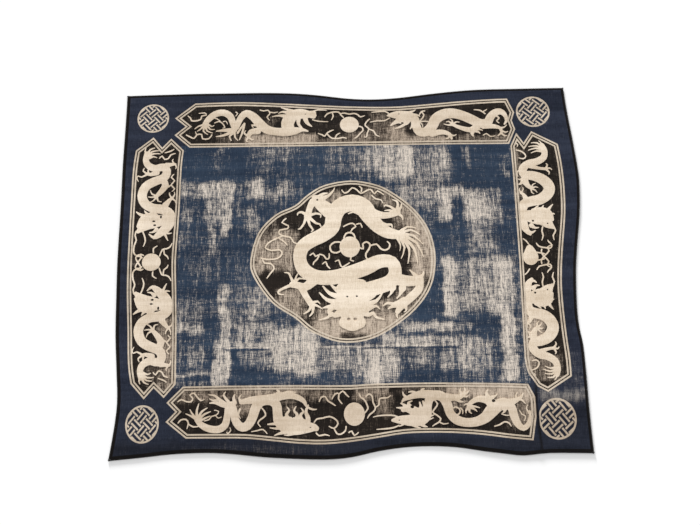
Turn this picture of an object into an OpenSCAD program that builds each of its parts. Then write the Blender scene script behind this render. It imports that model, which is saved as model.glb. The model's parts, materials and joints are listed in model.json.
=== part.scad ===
// Hand-knotted wool carpet with a dragon medallion, four dragon cartouches and four fret roundels.
// The pile is built zone by zone, each colour of yarn a zone of its own, on one woven cotton base.
// The dark grounds have worn low, and the ivory dragons, pearls and clouds stand proud of them.
// Millimetres, +Z up. The carpet lies flat with its underside at z = 0 and its middle at the origin;
// +X runs to the right along the long side and +Y to the far end.

/* [Thickness] */
// Thickness of the woven base
base_t = 3; // [2:0.5:5]
// Height of the knotted pile above the base
pile_t = 7; // [6:0.5:12]
// Height of the dark pile under the dragons, which has worn lower than the rest
ground_t = 5; // [3:0.5:5.5]
// Height of the overcast side cords
side_cord_t = 9; // [5:0.5:12]
// Thickness of the flat-woven strips at the two ends
end_strip_t = 4; // [3:0.5:6]

/* [Edges] */
// Width of the side cords and of the end strips
edge_w = 10; // [8:1:20]
// Mean width of the dark guard band inside them
band_w = 16; // [12:1:40]
// How much wider than the mean the band is along the near edge, and narrower along the far one
band_drift_y = 4; // [0:1:8]
// How much wider than the mean the band is along the left edge, and narrower along the right one
band_drift_x = 2; // [0:1:8]

/* [Design lines] */
// Width of each ivory line
line_w = 13; // [9:1:15]
// Width of the dark line between two ivory lines
groove_w = 9; // [6:1:12]
// Gap between the ivory lines and the motifs inside them
motif_gap = 0.6; // [0.3:0.1:2]
// Width of one bar of the fret lattice in the roundels
bar_w = 13; // [9:1:15]

/* [Fold] */
// Where the carpet folds over, measured along Y before centring
fold_y = -675; // [-690:1:-660]
// Gap between the two halves at the fold
fold_gap = 0.5; // [0.3:0.1:1]

/* [Smoothness] */
// Pieces drawn between two points of a broad stroke
broad_steps = 3; // [2:1:6]
// Pieces drawn between two points of a narrow stroke
narrow_steps = 2; // [1:1:6]

/* [Hidden] */

frame_w = 2 * line_w + groove_w;
far_away = 3000;

navy = [0.15, 0.19, 0.29];
field_blue = [0.21, 0.31, 0.43];
ivory = [0.88, 0.81, 0.72];
black_brown = [0.16, 0.13, 0.12];
cotton = [0.74, 0.68, 0.58];

// ---- Outline: the four edges, bowed as the carpet has grown with use --------------------------

far_edge = [
    [-1832, 1512], [-1350, 1522], [-850, 1523], [-500, 1517], [-250, 1495], [0, 1462], [200, 1450],
    [420, 1460], [700, 1492], [1000, 1520], [1300, 1527], [1812, 1530]
];
right_edge = [
    [1812, 1530], [1830, 1300], [1852, 1100], [1880, 800], [1883, 640], [1866, 400], [1825, 120],
    [1800, -100], [1787, -380], [1793, -540], [1812, -675], [1818, -900], [1820, -1200], [1830, -1525]
];
near_edge = [
    [1830, -1525], [1500, -1518], [1300, -1534], [1150, -1517], [1000, -1497], [800, -1465],
    [600, -1453], [400, -1460], [200, -1486], [0, -1528], [-200, -1543], [-500, -1530],
    [-700, -1515], [-900, -1492], [-1100, -1480], [-1350, -1486], [-1600, -1510], [-1840, -1530]
];
left_edge = [
    [-1840, -1530], [-1810, -1300], [-1794, -1080], [-1812, -820], [-1832, -560], [-1840, -250],
    [-1846, 60], [-1842, 500], [-1842, 900], [-1835, 1250], [-1832, 1512]
];

// ---- Curves and strokes -----------------------------------------------------------------------

// A point between b and c on a smooth curve through a, b, c and d
function between(a, b, c, d, t) =
    0.5 * (2 * b + (c - a) * t + (2 * a - 5 * b + 4 * c - d) * t * t + (3 * b - a - 3 * c + d) * t * t * t);

// A smooth open curve through the points p, with n pieces from each to the next
function curve(p, n) =
    let (last = len(p) - 1)
    concat([for (i = [0:last - 1]) for (k = [0:n - 1])
        between(p[max(i - 1, 0)], p[i], p[i + 1], p[min(i + 2, last)], k / n)], [p[last]]);

// A smooth closed curve through the points p
function ring(p, n) =
    let (m = len(p))
    [for (i = [0:m - 1]) for (k = [0:n - 1])
        between(p[(i + m - 1) % m], p[i], p[(i + 1) % m], p[(i + 2) % m], k / n)];

function xy(p) = [p.x, p.y];
function swap(p) = [p.y, p.x];
function swapped(list) = [for (p = list) swap(p)];
function reversed(list) = [for (i = [len(list) - 1:-1:0]) list[i]];

outline = concat(curve(far_edge, 3), curve(right_edge, 3), curve(near_edge, 3), curve(left_edge, 3));
outline_x = [for (p = outline) p.x];
outline_y = [for (p = outline) p.y];
centre = [(max(outline_x) + min(outline_x)) / 2, (max(outline_y) + min(outline_y)) / 2];

// Half width from which a stroke counts as broad
broad = 14;

// A brush stroke through points [x, y, half width], with round ends where it is broad
module stroke(points) {
    q = curve(points, max([for (p = points) p.z]) > broad ? broad_steps : narrow_steps);
    last = len(q) - 1;
    side = [for (i = [0:last])
        let (d = xy(q[min(i + 1, last)]) - xy(q[max(i - 1, 0)]))
        [-d.y, d.x] / norm(d) * q[i].z];
    for (i = [0:last - 1])
        polygon([xy(q[i]) + side[i], xy(q[i + 1]) + side[i + 1],
            xy(q[i + 1]) - side[i + 1], xy(q[i]) - side[i]]);
    for (end = [q[0], q[last]])
        if (end.z > broad / 2) translate(xy(end)) circle(r = end.z, $fn = end.z > broad ? 16 : 8);
}

// All strokes of a motif, each point first laid in place by the function place
module strokes(list, place) {
    for (points = list) stroke([for (p = points) place(p)]);
}

// Small gaps [x, y, half width, half height] such as eyes
module gaps(list, place) {
    for (g = list) oval(xy(place(g)), g[2], g[3]);
}

module oval(middle, rx, ry) {
    translate(middle) polygon([for (a = [0:12:348]) [rx * cos(a), ry * sin(a)]]);
}

// Fills cracks in a motif that are too narrow to knot
module close_cracks() {
    offset(delta = -1.2) offset(delta = 1.2) children();
}

// ---- Solids -----------------------------------------------------------------------------------

module slab(low, high) {
    translate([-centre.x, -centre.y, low]) linear_extrude(high - low) offset(delta = 0) children();
}

module pile() {
    slab(base_t, base_t + pile_t) children();
}

// The worn dark pile, and the motifs that stand on it up to the full height of the pile
module low_pile() {
    slab(base_t, base_t + ground_t) children();
}

module relief() {
    slab(base_t + ground_t, base_t + pile_t) children();
}

module inset(d) {
    offset(delta = -d) children();
}

// The part of a shape on the far side of the fold, and the part that folds over
module beyond_fold() {
    intersection() {
        children();
        translate([-far_away, fold_y + fold_gap / 2]) square([2 * far_away, 2 * far_away]);
    }
}

module before_fold() {
    intersection() {
        children();
        translate([-far_away, fold_y - fold_gap / 2 - 2 * far_away]) square([2 * far_away, 2 * far_away]);
    }
}

// ---- Cartouche outlines -----------------------------------------------------------------------

far_high = [
    [-1263, 1433], [-1000, 1440], [-800, 1437], [-500, 1420], [-200, 1400], [0, 1388], [250, 1379],
    [450, 1381], [700, 1400], [950, 1420], [1200, 1434], [1337, 1437]
];
far_low = [[-1300, 1034], [-700, 1032], [0, 1031], [900, 1030], [1332, 1026]];
near_high = [
    [-1292, -966], [-1000, -965], [-500, -966], [-200, -972], [0, -974], [150, -966], [450, -962],
    [800, -965], [1200, -975], [1366, -984]
];
near_low = [
    [-1258, -1370], [-1000, -1372], [-800, -1377], [-600, -1398], [-400, -1420], [-200, -1428],
    [0, -1412], [200, -1385], [400, -1356], [600, -1351], [800, -1357], [1000, -1374],
    [1200, -1402], [1378, -1421]
];
left_low = [
    [-1740, 1013], [-1756, 850], [-1760, 600], [-1763, 300], [-1764, 0], [-1756, -250],
    [-1740, -500], [-1724, -780], [-1697, -940]
];
left_high = [
    [-1345, 1010], [-1358, 850], [-1362, 550], [-1372, 250], [-1379, 50], [-1368, -200],
    [-1356, -500], [-1350, -800], [-1348, -948]
];
right_low = [
    [1342, 1010], [1349, 700], [1353, 300], [1355, 0], [1352, -400], [1350, -780], [1372, -905]
];
right_high = [
    [1732, 1019], [1752, 850], [1760, 640], [1752, 420], [1722, 200], [1696, 0], [1680, -200],
    [1681, -400], [1690, -600], [1704, -800], [1704, -930]
];

module far_cartouche() {
    polygon(concat([[-1427, 1300]], curve(far_high, 3), [[1390, 1310], [1366, 1238], [1390, 1158]],
        reversed(far_low), [[-1427, 1148], [-1338, 1224]]));
}

module near_cartouche() {
    low = curve(near_low, 3);
    polygon(concat([[-1415, -1092]], curve(near_high, 3), [[1411, -1085], [1412, -1240]],
        reversed(low), [[-1417, -1240], [-1345, -1163]]));
}

module left_cartouche() {
    low = curve(left_low, 3);
    polygon(concat([[-1598, 1130], [-1524, 1038], [-1452, 1118]], curve(left_high, 3),
        [[-1437, -1055], [-1517, -976], [-1590, -1063]], reversed(low)));
}

module right_cartouche() {
    low = curve(right_low, 3);
    polygon(concat([[1395, 1125], [1452, 1036], [1520, 1138]], curve(right_high, 3),
        [[1515, -1050], [1436, -1006]], reversed(low)));
}

module medallion() {
    polygon(ring([
        [20, 722], [-190, 686], [-326, 606], [-431, 512], [-589, 434], [-725, 282], [-786, 60],
        [-760, -90], [-610, -308], [-431, -434], [-295, -549], [-85, -633], [125, -623],
        [314, -539], [524, -371], [650, -182], [692, 50], [650, 280], [530, 470], [345, 625],
        [209, 690]
    ], 4));
}

// ---- How a design drawn at one end lies at the other ------------------------------------------

function as_drawn(p) = p;

// Where v runs from a to b, the same share of the way from c to d
function share(v, a, b, c, d) = c + (v - a) / (b - a) * (d - c);

// The far half of a side cartouche turned over and laid in its near half
function down_side(p, low, high, middle) =
    let (y = 2 * middle - p.y,
        x = share(p.x, lookup(p.y, swapped(low)), lookup(p.y, swapped(high)),
            lookup(y, swapped(low)), lookup(y, swapped(high))))
    [x, y, p.z];

left_middle = 45;
right_middle = 48;
function left_to_near(p) = down_side(p, reversed(left_low), reversed(left_high), left_middle);
function right_to_near(p) = down_side(p, reversed(right_low), reversed(right_high), right_middle);

// ---- Dragons, drawn as strokes [x, y, half width] ---------------------------------------------

medallion_dragon_strokes = [
    // body, from the neck round the right loop, along to the left bulge and up over the pearl
    [[70, -230, 66], [200, -195, 62], [320, -150, 60], [366, -70, 52], [340, 15, 52], [245, 25, 56],
        [130, -28, 62], [0, -72, 60], [-130, -104, 60], [-260, -98, 58], [-355, -40, 56],
        [-392, 55, 52], [-372, 150, 56], [-300, 208, 58], [-205, 256, 60], [-135, 320, 64],
        [-116, 410, 66], [-70, 492, 70], [30, 526, 74], [122, 484, 76], [176, 400, 66],
        [240, 318, 56], [326, 262, 48], [420, 245, 32]],
    // tail plumes
    [[400, 262, 14], [472, 314, 8], [545, 300, 3]],
    [[415, 258, 14], [500, 288, 8], [572, 244, 3]],
    [[425, 250, 14], [520, 238, 9], [592, 165, 3]],
    [[430, 245, 14], [540, 178, 10], [595, 55, 3]],
    [[425, 240, 15], [520, 130, 11], [548, 0, 3]],
    [[418, 236, 15], [482, 125, 10], [468, 2, 3]],
    [[402, 232, 13], [446, 140, 8], [416, 44, 3]],
    [[384, 225, 11], [414, 160, 6], [406, 108, 2]],
    // head: crown, face, muzzle
    [[-60, -165, 30], [20, -150, 36], [100, -160, 36]],
    [[-60, -205, 50], [20, -225, 62], [110, -205, 50]],
    [[-50, -330, 68], [20, -345, 80], [85, -330, 68]],
    [[20, -300, 110], [20, -400, 98], [20, -470, 76]],
    [[-40, -475, 46], [20, -495, 50], [80, -475, 46]],
    // cheeks and whiskers
    [[-70, -390, 34], [-120, -415, 20], [-150, -395, 12], [-170, -430, 10], [-240, -452, 4]],
    [[110, -390, 34], [150, -415, 18], [185, -400, 12], [205, -435, 10], [272, -455, 4]],
    // mane, left and right
    [[-30, -215, 14], [-52, -180, 8], [-62, -150, 3]],
    [[-80, -225, 22], [-120, -190, 13], [-152, -158, 5]],
    [[-92, -262, 24], [-160, -232, 14], [-212, -172, 6]],
    [[-92, -310, 26], [-178, -288, 14], [-238, -226, 5]],
    [[-88, -350, 26], [-160, -345, 16], [-212, -355, 4]],
    [[-120, -330, 30], [-160, -380, 18], [-150, -420, 10]],
    [[120, -240, 22], [150, -238, 16], [185, -215, 8]],
    [[130, -285, 26], [190, -262, 14], [232, -212, 6]],
    [[135, -330, 26], [215, -300, 13], [262, -232, 5]],
    [[140, -370, 22], [205, -345, 10], [240, -372, 3]],
    // left fore leg, lifted, with its paw and claws
    [[-150, 455, 62], [-215, 510, 52], [-268, 550, 38], [-306, 500, 26], [-322, 440, 26],
        [-328, 415, 30]],
    [[-250, 575, 24], [-300, 592, 8], [-325, 600, 3]],
    [[-240, 575, 22], [-205, 606, 12], [-165, 615, 4]],
    [[-225, 560, 26], [-160, 592, 12], [-122, 632, 7], [-108, 662, 3]],
    [[-335, 425, 15], [-375, 452, 10], [-405, 445, 7], [-412, 425, 3]],
    [[-342, 405, 14], [-358, 355, 9], [-388, 312, 8], [-408, 308, 3]],
    [[-325, 395, 14], [-312, 340, 9], [-285, 300, 7], [-302, 284, 3]],
    [[-310, 400, 14], [-262, 356, 9], [-232, 348, 7], [-218, 318, 3]],
    [[-308, 425, 13], [-262, 440, 9], [-222, 428, 7], [-226, 402, 3]],
    // right fore leg
    [[150, 470, 46], [215, 430, 36], [290, 414, 28], [365, 424, 24], [398, 440, 24]],
    [[385, 440, 15], [402, 500, 10], [392, 535, 8], [356, 550, 3]],
    [[398, 440, 14], [428, 488, 9], [432, 522, 3]],
    [[385, 450, 15], [346, 486, 9], [302, 502, 7], [292, 488, 3]],
    [[375, 440, 14], [330, 458, 9], [292, 455, 3]],
    [[398, 432, 14], [432, 402, 9], [438, 372, 3]],
    [[230, 420, 24], [250, 360, 18], [300, 335, 12], [344, 334, 9], [352, 306, 4]],
    // left hind leg, two paws
    [[-285, -130, 40], [-350, -180, 34], [-410, -165, 28], [-450, -158, 26]],
    [[-440, -150, 15], [-462, -100, 9], [-482, -62, 7], [-516, -58, 3]],
    [[-450, -160, 15], [-508, -182, 11], [-560, -212, 9], [-552, -236, 7], [-516, -240, 3]],
    [[-430, -140, 13], [-398, -108, 8], [-352, -116, 3]],
    [[-425, -170, 13], [-388, -168, 8], [-352, -182, 3]],
    [[-430, -130, 10], [-420, -90, 6], [-402, -62, 3]],
    [[-380, -185, 28], [-340, -262, 24], [-306, -316, 24], [-295, -336, 22]],
    [[-300, -325, 13], [-318, -372, 9], [-362, -402, 4]],
    [[-288, -335, 14], [-290, -388, 9], [-318, -422, 4]],
    [[-285, -325, 13], [-250, -338, 8], [-212, -364, 3]],
    [[-290, -310, 12], [-252, -300, 8], [-232, -322, 3]],
    // right hind leg
    [[360, -120, 50], [440, -140, 46], [520, -142, 40], [556, -128, 34]],
    [[560, -130, 30], [548, -210, 32], [478, -282, 34], [408, -346, 28], [376, -392, 20]],
    [[540, -120, 22], [505, -75, 10], [478, -50, 3]],
    [[570, -110, 16], [590, -80, 8], [592, -62, 3]],
    [[430, -300, 26], [352, -330, 15], [300, -322, 10], [262, -345, 4]],
    [[400, -335, 22], [330, -352, 12], [300, -372, 4]],
    [[385, -375, 15], [368, -420, 9], [378, -448, 3]],
    [[430, -330, 22], [445, -380, 8], [425, -398, 3]],
    [[420, -200, 30], [400, -250, 10], [372, -286, 5]],
    [[340, -195, 30], [330, -240, 9], [300, -275, 4]]
];
medallion_dragon_gaps = [[-18, -264, 8, 7], [58, -262, 8, 7], [-250, 557, 8, 8], [-8, -448, 14, 12],
    [42, -448, 14, 12]];

far_left_dragon_strokes = [
    [[-1185, 1232, 18], [-1150, 1285, 26], [-1095, 1332, 28], [-1025, 1345, 29], [-968, 1310, 29],
        [-944, 1245, 26], [-925, 1200, 24], [-905, 1240, 24], [-880, 1298, 27], [-835, 1336, 31],
        [-775, 1303, 36], [-720, 1238, 40], [-665, 1188, 38], [-590, 1168, 34], [-505, 1172, 38],
        [-500, 1240, 46], [-465, 1300, 46], [-395, 1325, 46], [-325, 1320, 34], [-272, 1310, 20]],
    [[-590, 1165, 32], [-500, 1160, 34], [-430, 1172, 32], [-370, 1180, 16], [-320, 1165, 5]],
    [[-930, 1185, 20], [-1005, 1186, 14], [-1085, 1178, 4]],
    [[-950, 1172, 16], [-1020, 1140, 10], [-1085, 1130, 3]],
    [[-850, 1242, 9], [-864, 1170, 9], [-890, 1096, 4]],
    [[-905, 1160, 9], [-878, 1205, 8], [-848, 1250, 6]],
    [[-940, 1160, 11], [-972, 1128, 7], [-955, 1090, 4]],
    [[-930, 1160, 10], [-925, 1120, 6], [-900, 1090, 3]],
    [[-740, 1175, 30], [-795, 1165, 24], [-815, 1125, 15]],
    [[-815, 1130, 11], [-850, 1155, 7], [-838, 1182, 3]],
    [[-815, 1120, 10], [-832, 1090, 6], [-820, 1078, 3]],
    [[-812, 1118, 10], [-785, 1095, 6], [-770, 1105, 3]],
    [[-755, 1225, 9], [-790, 1228, 7], [-775, 1205, 3]],
    // mane and horns
    [[-440, 1345, 18], [-500, 1368, 9], [-548, 1384, 3]],
    [[-480, 1335, 18], [-535, 1345, 8], [-570, 1330, 3]],
    [[-490, 1300, 22], [-560, 1312, 9], [-622, 1302, 3]],
    // jaw and beard
    [[-440, 1280, 20], [-452, 1230, 12], [-440, 1185, 9]],
    [[-400, 1290, 20], [-402, 1235, 13], [-372, 1192, 8]],
    [[-350, 1295, 22], [-330, 1242, 15], [-290, 1208, 4]],
    [[-300, 1338, 14], [-268, 1340, 10], [-258, 1325, 4]],
    [[-300, 1300, 14], [-272, 1288, 9], [-262, 1296, 4]],
    // tail plumes
    [[-1185, 1238, 10], [-1230, 1226, 6], [-1262, 1200, 3]],
    [[-1185, 1230, 10], [-1214, 1198, 6], [-1240, 1180, 3]],
    [[-1180, 1226, 10], [-1188, 1180, 7], [-1150, 1148, 3]],
    [[-1170, 1225, 10], [-1158, 1182, 7], [-1110, 1162, 3]],
    [[-1160, 1232, 10], [-1132, 1196, 6], [-1095, 1195, 3]],
    [[-1155, 1245, 9], [-1120, 1222, 5], [-1100, 1232, 3]]
];
far_left_dragon_gaps = [[-345, 1322, 6, 4]];

near_left_dragon_strokes = [
    [[-1178, -1228, 18], [-1140, -1268, 24], [-1080, -1297, 27], [-1010, -1302, 28], [-962, -1268, 28],
        [-946, -1200, 26], [-938, -1135, 26], [-914, -1108, 24], [-896, -1160, 26], [-885, -1230, 30],
        [-845, -1284, 33], [-792, -1278, 35], [-754, -1215, 36], [-730, -1140, 38], [-690, -1092, 38],
        [-620, -1086, 36], [-572, -1120, 36], [-562, -1190, 36], [-548, -1250, 42], [-490, -1292, 50],
        [-420, -1304, 50], [-340, -1298, 42], [-290, -1298, 32], [-268, -1306, 22]],
    // shoulder and fore leg over the beard
    [[-840, -1095, 18], [-770, -1082, 28], [-690, -1078, 34], [-600, -1070, 36], [-530, -1052, 30],
        [-450, -1052, 24], [-382, -1078, 20], [-350, -1110, 13]],
    [[-560, -1040, 22], [-556, -1016, 12], [-572, -1004, 4]],
    [[-520, -1040, 18], [-480, -1020, 9], [-425, -1026, 4]],
    [[-360, -1100, 12], [-335, -1140, 9], [-292, -1160, 7], [-262, -1158, 3]],
    // beard and jaw
    [[-500, -1250, 42], [-440, -1262, 44], [-370, -1270, 40]],
    [[-476, -1240, 18], [-494, -1196, 12], [-474, -1164, 8], [-492, -1136, 3]],
    [[-424, -1240, 18], [-412, -1200, 12], [-436, -1166, 8], [-420, -1132, 3]],
    [[-376, -1250, 20], [-388, -1204, 12], [-366, -1176, 8], [-384, -1146, 3]],
    [[-336, -1280, 24], [-330, -1226, 18], [-346, -1176, 12], [-326, -1122, 5]],
    // mane and horns
    [[-540, -1262, 16], [-590, -1266, 10], [-640, -1270, 5]],
    [[-520, -1290, 20], [-570, -1302, 9], [-622, -1296, 3]],
    [[-500, -1328, 18], [-550, -1342, 9], [-588, -1356, 3]],
    [[-430, -1338, 14], [-478, -1354, 7], [-512, -1352, 3]],
    // hind leg over the tail
    [[-925, -1122, 24], [-985, -1112, 20], [-1040, -1096, 12], [-1086, -1100, 4]],
    [[-960, -1112, 18], [-1010, -1072, 12], [-1046, -1042, 8], [-1094, -1034, 3]],
    [[-1016, -1072, 9], [-1058, -1078, 6], [-1088, -1064, 3]],
    [[-940, -1090, 12], [-978, -1040, 8], [-960, -1012, 3]],
    // paw between the loops
    [[-890, -1100, 16], [-900, -1062, 10], [-890, -1030, 4]],
    [[-840, -1100, 14], [-858, -1062, 8], [-838, -1034, 3]],
    [[-850, -1150, 8], [-862, -1190, 6], [-845, -1222, 3]],
    // tail plumes
    [[-1180, -1225, 10], [-1225, -1196, 7], [-1266, -1178, 3]],
    [[-1185, -1216, 10], [-1215, -1178, 7], [-1234, -1145, 3]],
    [[-1178, -1210, 11], [-1180, -1155, 8], [-1165, -1100, 3]],
    [[-1168, -1212, 11], [-1140, -1162, 8], [-1098, -1135, 3]],
    [[-1158, -1218, 11], [-1120, -1184, 8], [-1072, -1164, 3]],
    [[-1150, -1232, 10], [-1108, -1212, 7], [-1074, -1198, 3]]
];
near_left_dragon_gaps = [[-312, -1298, 6, 4], [-520, -1190, 6, 20], [-448, -1212, 5, 12]];

near_right_dragon_strokes = [
    [[470, -1256, 44], [540, -1246, 46], [582, -1205, 34], [588, -1150, 28], [602, -1090, 34],
        [652, -1062, 38], [705, -1080, 38], [738, -1140, 36], [756, -1205, 34], [802, -1254, 36],
        [870, -1276, 34], [950, -1272, 36], [1020, -1242, 42], [1070, -1192, 50], [1120, -1152, 48],
        [1180, -1136, 44], [1226, -1168, 34], [1242, -1230, 32], [1266, -1292, 28], [1308, -1326, 22],
        [1346, -1298, 19], [1364, -1245, 12], [1362, -1190, 5]],
    // head, facing left
    [[520, -1238, 56], [450, -1254, 44], [390, -1250, 34], [345, -1250, 24], [316, -1252, 12]],
    [[500, -1200, 44], [460, -1172, 34], [425, -1162, 30], [398, -1172, 18]],
    [[412, -1164, 20], [376, -1158, 9], [344, -1154, 3]],
    [[420, -1150, 18], [398, -1130, 9], [376, -1120, 3]],
    [[450, -1150, 20], [440, -1118, 10], [470, -1104, 4]],
    [[516, -1190, 20], [532, -1150, 11], [524, -1112, 5]],
    [[556, -1180, 22], [562, -1140, 14], [548, -1104, 6]],
    // mane
    [[556, -1216, 26], [602, -1222, 9], [634, -1214, 3]],
    [[560, -1246, 24], [600, -1246, 8], [628, -1236, 3]],
    [[530, -1280, 20], [556, -1300, 10], [580, -1306, 3]],
    [[470, -1286, 16], [500, -1306, 8], [528, -1314, 3]],
    [[400, -1278, 12], [380, -1292, 6], [362, -1300, 3]],
    // fore leg over the head
    [[630, -1062, 38], [556, -1052, 32], [490, -1062, 24], [432, -1082, 17], [404, -1088, 10]],
    [[560, -1046, 26], [548, -1022, 14], [566, -1008, 4]],
    [[500, -1052, 18], [470, -1032, 9], [440, -1036, 4]],
    [[428, -1080, 14], [404, -1056, 8], [398, -1030, 3]],
    [[420, -1088, 14], [394, -1104, 8], [388, -1126, 3]],
    // fore leg over the loop
    [[718, -1080, 34], [780, -1082, 26], [836, -1078, 20], [862, -1056, 14]],
    [[800, -1090, 18], [832, -1112, 10], [862, -1118, 3]],
    [[850, -1062, 12], [838, -1030, 7], [846, -1006, 3]],
    [[862, -1056, 12], [876, -1026, 7], [870, -1004, 3]],
    [[866, -1060, 12], [892, -1048, 7], [908, -1030, 3]],
    [[858, -1068, 12], [884, -1078, 6], [902, -1070, 3]],
    // hind leg with its paw in the loop
    [[1090, -1150, 50], [1046, -1108, 32], [972, -1098, 22], [916, -1126, 17], [898, -1158, 15]],
    [[1052, -1090, 20], [1040, -1050, 10], [1052, -1024, 4]],
    [[1070, -1092, 18], [1106, -1076, 8], [1122, -1060, 3]],
    [[902, -1140, 12], [878, -1136, 6], [862, -1146, 3]],
    [[898, -1162, 12], [876, -1186, 7], [878, -1206, 3]],
    [[902, -1166, 12], [904, -1196, 7], [922, -1208, 3]],
    [[908, -1160, 12], [944, -1176, 7], [962, -1196, 3]],
    [[912, -1152, 12], [952, -1156, 7], [986, -1166, 3]],
    // hind leg by the tail
    [[1200, -1132, 34], [1262, -1112, 20], [1304, -1086, 11], [1322, -1056, 4]],
    [[1284, -1100, 12], [1312, -1112, 7], [1334, -1140, 3]],
    [[1270, -1100, 12], [1264, -1072, 6], [1278, -1052, 3]],
    [[1176, -1170, 20], [1168, -1200, 8], [1148, -1212, 3]],
    // tail plumes
    [[1356, -1210, 8], [1340, -1176, 5], [1350, -1148, 3]],
    [[1360, -1230, 8], [1380, -1190, 5], [1376, -1156, 3]]
];
near_right_dragon_gaps = [[468, -1150, 14, 12], [366, -1252, 6, 4], [1092, -1112, 14, 12]];

far_right_dragon_strokes = [
    [[440, 1292, 40], [510, 1290, 40], [562, 1262, 36], [572, 1205, 36], [596, 1150, 38],
        [655, 1148, 42], [704, 1196, 44], [738, 1262, 46], [805, 1303, 46], [880, 1310, 44],
        [960, 1288, 42], [1040, 1248, 42], [1105, 1215, 40], [1162, 1222, 38], [1190, 1270, 34],
        [1228, 1310, 31], [1275, 1320, 27], [1310, 1290, 19], [1322, 1240, 13], [1300, 1202, 6]],
    // head, facing left
    [[500, 1292, 44], [430, 1302, 38], [375, 1302, 24], [338, 1298, 8]],
    [[480, 1240, 30], [430, 1250, 24], [392, 1230, 14], [358, 1205, 4]],
    [[500, 1250, 26], [470, 1212, 12], [430, 1190, 9], [395, 1180, 4]],
    [[545, 1250, 16], [540, 1205, 9], [520, 1172, 4]],
    [[500, 1318, 16], [548, 1334, 8], [572, 1348, 3]],
    [[530, 1300, 18], [580, 1300, 9], [608, 1285, 3]],
    [[520, 1270, 26], [505, 1235, 14], [488, 1212, 6]],
    // hind leg and lower leg with claws
    [[1130, 1195, 30], [1205, 1188, 20], [1262, 1172, 14], [1275, 1132, 10], [1242, 1100, 4]],
    [[1262, 1170, 11], [1300, 1178, 6], [1322, 1200, 3]],
    [[1270, 1150, 10], [1305, 1132, 6], [1330, 1140, 3]],
    [[1270, 1130, 9], [1298, 1100, 6], [1320, 1104, 3]],
    [[1230, 1290, 9], [1262, 1262, 7], [1240, 1236, 6], [1262, 1215, 3]],
    [[1075, 1190, 30], [1020, 1158, 24], [935, 1180, 17], [868, 1212, 13]],
    [[868, 1212, 10], [846, 1236, 6], [820, 1232, 3]],
    [[872, 1215, 10], [872, 1246, 6], [850, 1262, 3]],
    [[880, 1212, 10], [905, 1232, 6], [932, 1228, 3]],
    [[870, 1205, 10], [835, 1205, 6], [800, 1216, 3]],
    [[1045, 1160, 24], [1032, 1125, 14], [1042, 1098, 5]],
    [[1050, 1150, 14], [1085, 1138, 8], [1098, 1122, 3]],
    [[1060, 1165, 14], [1100, 1160, 7], [1122, 1150, 3]],
    [[700, 1130, 30], [785, 1142, 22], [845, 1120, 16], [862, 1080, 8]],
    [[845, 1118, 10], [880, 1108, 6], [902, 1118, 3]],
    [[850, 1110, 10], [828, 1082, 6], [812, 1088, 3]]
];
far_right_dragon_gaps = [[458, 1228, 12, 8], [432, 1312, 6, 4]];

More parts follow.
